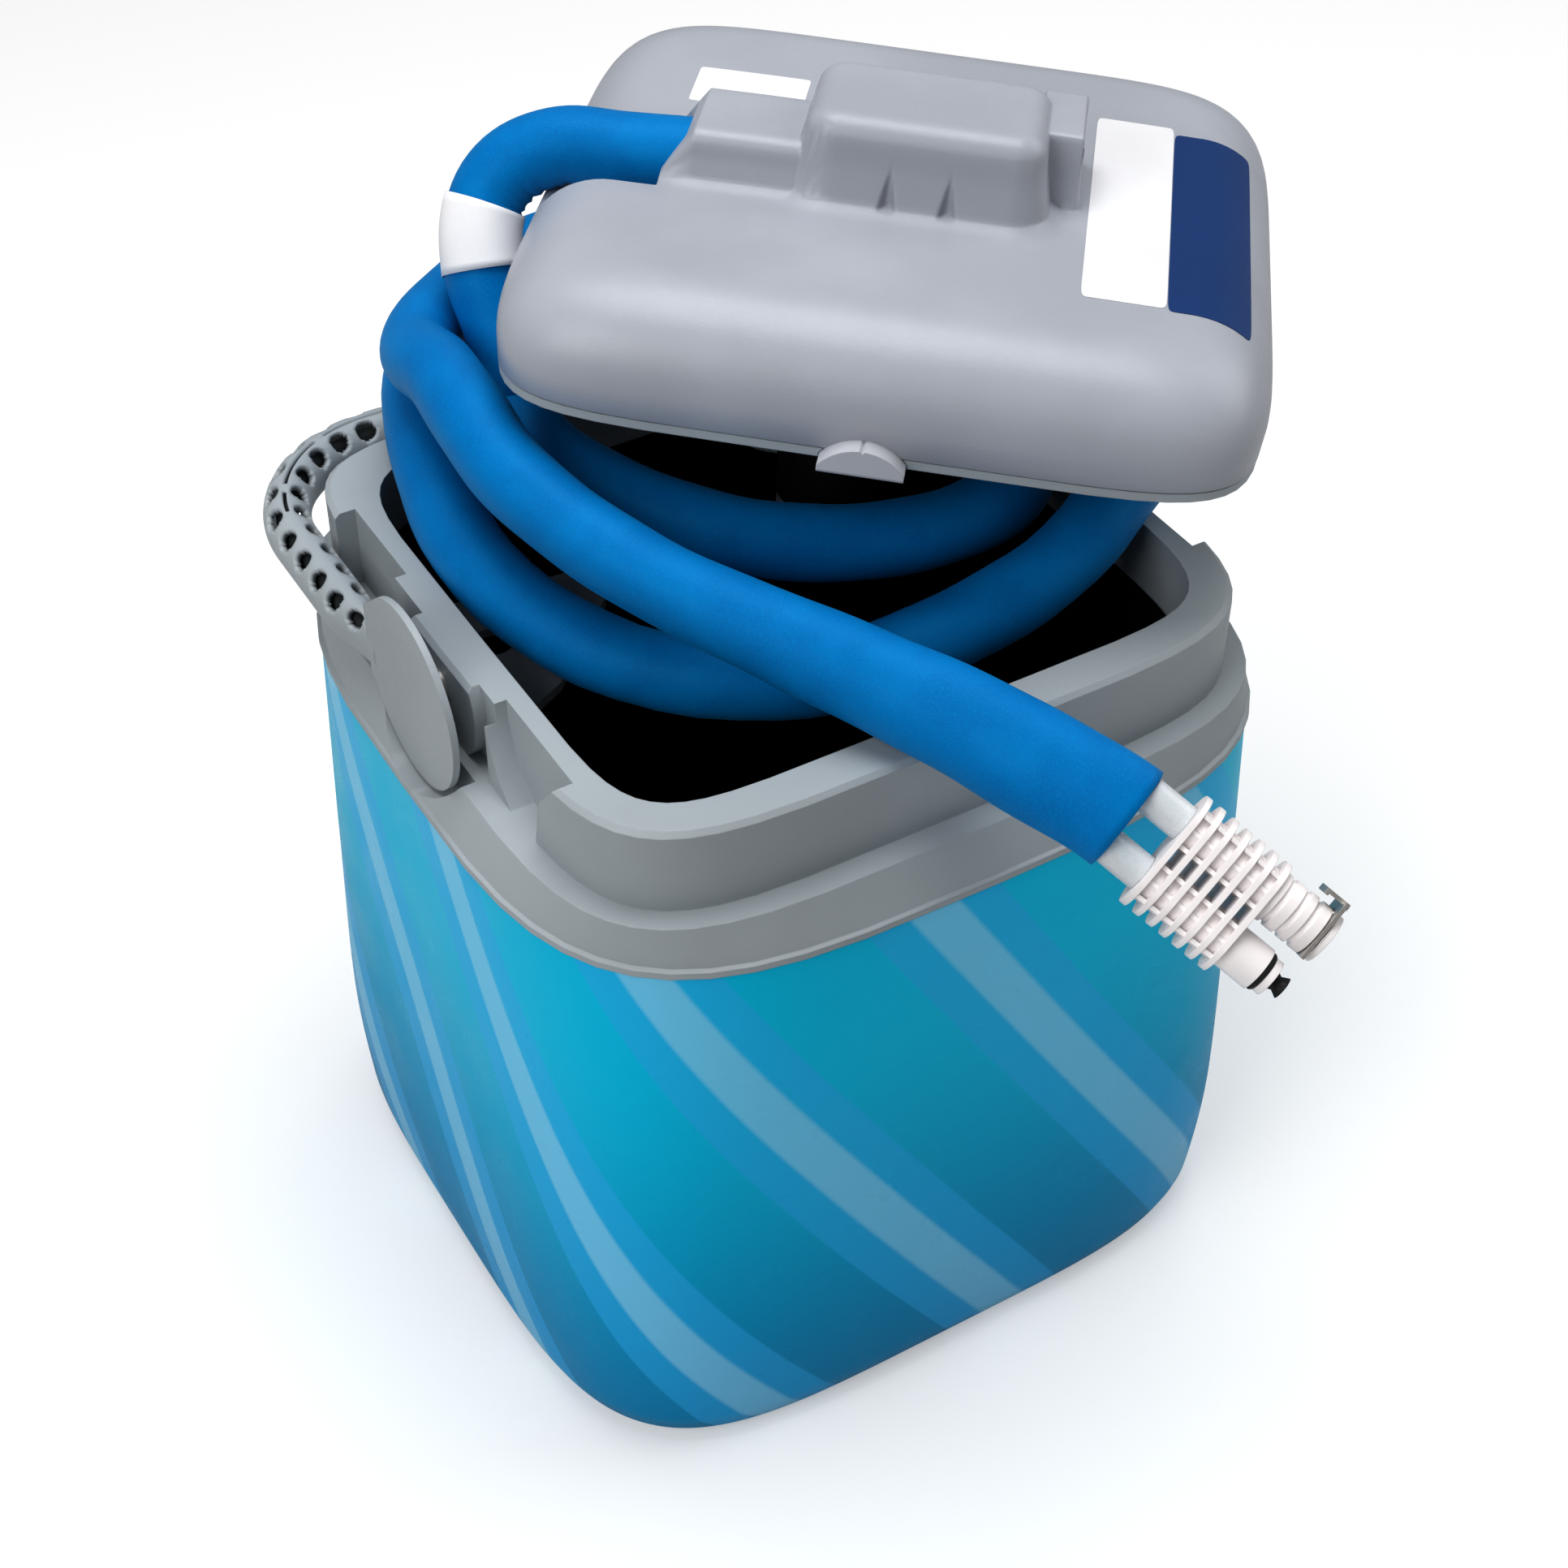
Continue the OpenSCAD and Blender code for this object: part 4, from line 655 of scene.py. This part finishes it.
def buildGrip():
    # sheet over path and section; cells inside a round hole or a slot are left out, and the points
    # next to a hole are drawn onto its circle
    arm, arc = grip["yBend"] - grip["y0"], grip["bend"] * np.pi / 2
    total = 2 * (arm + arc + grip["armX"] - grip["bend"])
    side = np.concatenate([[grip["slot"]], np.arange(grip["slot"] + 0.6, 18.4, 0.7)])
    v, s = np.meshgrid(np.concatenate([-side[::-1], side]), np.linspace(0, total, int(total / 0.8)))
    turn = (s - total / 2) / grip["pitch"]
    near = np.clip(np.round(turn), -(grip["holes"] // 2), grip["holes"] // 2)
    ds, dv = (turn - near) * grip["pitch"], v - np.sign(v) * grip["holeAt"]
    far = np.maximum(np.hypot(ds, dv), 1e-6)
    pull = np.where(np.abs(far - grip["hole"]) < 0.42, grip["hole"] / far, 1)
    snapped = near * grip["pitch"] + total / 2 + ds * pull, np.sign(v) * grip["holeAt"] + dv * pull
    rows, cols = s.shape

    def middle(q):
        return (q[:-1, :-1] + q[1:, :-1] + q[:-1, 1:] + q[1:, 1:]) / 4

    sm, vm = middle(s), middle(v)
    turn = (sm - total / 2) / grip["pitch"]
    near = np.clip(np.round(turn), -(grip["holes"] // 2), grip["holes"] // 2)
    inHole = np.hypot((turn - near) * grip["pitch"], np.abs(vm) - grip["holeAt"]) < grip["hole"] - 0.05
    period = grip["slotLong"] + grip["slotGap"]
    inSlot = (np.abs(vm) < grip["slot"]) & (np.abs(sm - total / 2) < total / 2 - arm - 6) \
        & (np.mod(sm - total / 2 + period / 2, period) > grip["slotGap"])
    faces = gridFaces(rows, cols, closed=False)[:, ::-1][~(inHole | inSlot).reshape(-1)]
    used, where = np.unique(faces, return_inverse=True)
    points = gripPoint(*snapped).reshape(-1, 3)[used]
    obj = makeObject("gripShell", points, where.reshape(faces.shape), "handle")
    wall = obj.modifiers.new("wall", "SOLIDIFY")
    wall.thickness, wall.offset, wall.use_even_offset = grip["wall"] * mm, -1, True
    give(obj, greyPlastic)
    # near-black sheet behind the openings, the floors of the cells inside the grip: its dark colour is painted
    # shade of the deep cells
    v, s = np.meshgrid(np.linspace(-17.2, 17.2, 37), np.linspace(2, total - 2, 220))
    core = makeObject("gripCellShade", gripPoint(s, v, 3.6).reshape(-1, 3),
                      gridFaces(*s.shape, closed=False)[:, ::-1], "handle")
    wall = core.modifiers.new("wall", "SOLIDIFY")
    wall.thickness, wall.offset = 0.6 * mm, -1
    give(core, cellShadeGrey)


def buildArms():
    # the solid's discs and arm roots, cut off where the grip begins and with a thinner disc edge
    obj = smoothCopy("handle", "carryHandle")
    work = bmesh.new()
    work.from_mesh(obj.data)
    bmesh.ops.bisect_plane(work, geom=work.verts[:] + work.edges[:] + work.faces[:], clear_outer=True,
                           plane_co=(0, grip["cutY"] * mm, 0), plane_no=(0, 1, 0))
    bmesh.ops.holes_fill(work, edges=work.edges[:], sides=0)
    work.to_mesh(obj.data)
    work.free()
    points = np.empty(len(obj.data.vertices) * 3, np.float32)
    obj.data.vertices.foreach_get("co", points)
    points = points.reshape(-1, 3)
    back = (np.abs(np.abs(points[:, 0]) / mm - grip["discFrom"]) < 0.25) \
        & (np.hypot(points[:, 1], points[:, 2] - grip["pivotZ"] * mm) > grip["hub"] * mm)
    points[back, 0] = np.sign(points[back, 0]) * grip["discTo"] * mm
    obj.data.vertices.foreach_set("co", points.reshape(-1))
    obj.data.set_sharp_from_angle(angle=np.radians(33))
    obj.data.update()
    give(obj, greyPlastic)


# painted shade: the cell floors are drawn near-black, far darker than the grip's grey plastic
cellShadeGrey = mouldedPlastic("cellShadeGrey", (0.028, 0.034, 0.036), roughness=0.7, grain=0.2, edge=0.1)
buildGrip()
buildArms()
print("stage: handle")

for node, name, material in (
        ("rim_collar", "rimCollar", greyPlastic),
        ("lid_base", "lidBase", greyPlastic), ("liner_ledge", "linerLedge", greyPlastic),
        ("pump_strainer", "pumpStrainer", greyPlastic), ("lid_tab", "fingerTab", paleGrey),
        ("inner_liner", "innerLiner", linerBlackAndShade), ("power_inlet", "powerInlet", blackPlastic),
        ("pump_housing", "pumpHousing", blackPlastic), ("pump_cover", "pumpCover", blackPlastic),
        ("hose_gland", "hoseGland", blackPlastic), ("plug_valve", "plugValve", blackPlastic),
        ("socket_valve", "socketValve", blackPlastic), ("base_pad", "basePad", blackRubber),
        ("lid_gasket", "lidGasket", blackRubber), ("plug_ring", "plugRing", blackRubber),
        ("pivot_pins", "pivotPins", steel), ("lid_screws", "lidScrews", steel), ("pump_motor", "pumpMotor", steel),
        ("pump_shaft", "pumpShaft", steel), ("thumb_latch", "thumbLatch", steel),
        ("foam_insulation", "foamInsulation", whiteFoam), ("lid_foam", "lidFoam", whiteFoam),
        ("coupling_grip", "couplingGrip", whitePlastic), ("male_plug", "malePlug", whitePlastic),
        ("female_socket", "femaleSocket", whitePlastic), ("socket_cap", "socketCap", whitePlastic),
        ("impeller", "impellerWheel", whitePlastic), ("supply_tube", "supplyTube", clearTube),
        ("return_tube", "returnTube", clearTube), ("clear_tubes", "clearTubes", clearTube)):
    give(smoothCopy(node, name), material)
print("stage: copies")


studio = {"floorHalf": 6.0, "floorGrey": 0.62, "floorGlow": 0.4, "worldLight": 0.24, "gamma": 0.8,
          "lightsAimAt": (0, 0, 0.2),
          "lights": (("keyLight", (-1.15, -0.4, 1.1), 0.9, 10), ("fillLight", (1.3, -0.3, 1.0), 1.0, 6),
                     ("topLight", (0.05, 0.2, 1.9), 1.2, 24))}


def makeStudio():
    # pale floor that the camera sees a little brighter than the light falling on it, and three soft lights
    size, grey = studio["floorHalf"], studio["floorGrey"]
    floor = makeObject("floor", np.array([(-size, -size, 0), (size, -size, 0), (size, size, 0), (-size, size, 0)])
                       * 1000 + np.array([0, 0, -0.2]), [[0, 1, 2, 3]], None)
    floorMaterial, tree, shader = newMaterial("paleFloor", {"Base Color": (grey, grey, grey, 1), "Roughness": 0.9,
                                                            "Emission Color": (1, 1, 1, 1)})
    seen = addNode(tree, "ShaderNodeLightPath").outputs["Is Camera Ray"]
    tree.links.new(calc(tree, "MULTIPLY", seen, studio["floorGlow"]), shader.inputs["Emission Strength"])
    give(floor, floorMaterial)
    world = bpy.data.worlds.new("studio")
    bpy.context.scene.world = world
    world.use_nodes = True
    world.node_tree.nodes["Background"].inputs[0].default_value = (1, 1, 1, 1)
    world.node_tree.nodes["Background"].inputs[1].default_value = studio["worldLight"]
    for name, place, width, power in studio["lights"]:
        data = bpy.data.lights.new(name, "AREA")
        data.size = width
        data.energy = power
        light = bpy.data.objects.new(name, data)
        bpy.context.scene.collection.objects.link(light)
        toward = direction(np.array(studio["lightsAimAt"]) - np.array(place))
        across = direction(np.cross(toward, np.array([0, 0, 1.0])))
        matrix = np.eye(4)
        matrix[:3, :3] = np.stack([across, np.cross(across, toward), -toward], 1)
        matrix[:3, 3] = place
        light.matrix_world = Matrix(matrix.tolist())
    bpy.context.scene.view_settings.view_transform = "Standard"
    bpy.context.scene.view_settings.gamma = studio["gamma"]


makeStudio()
print("stage: studio")
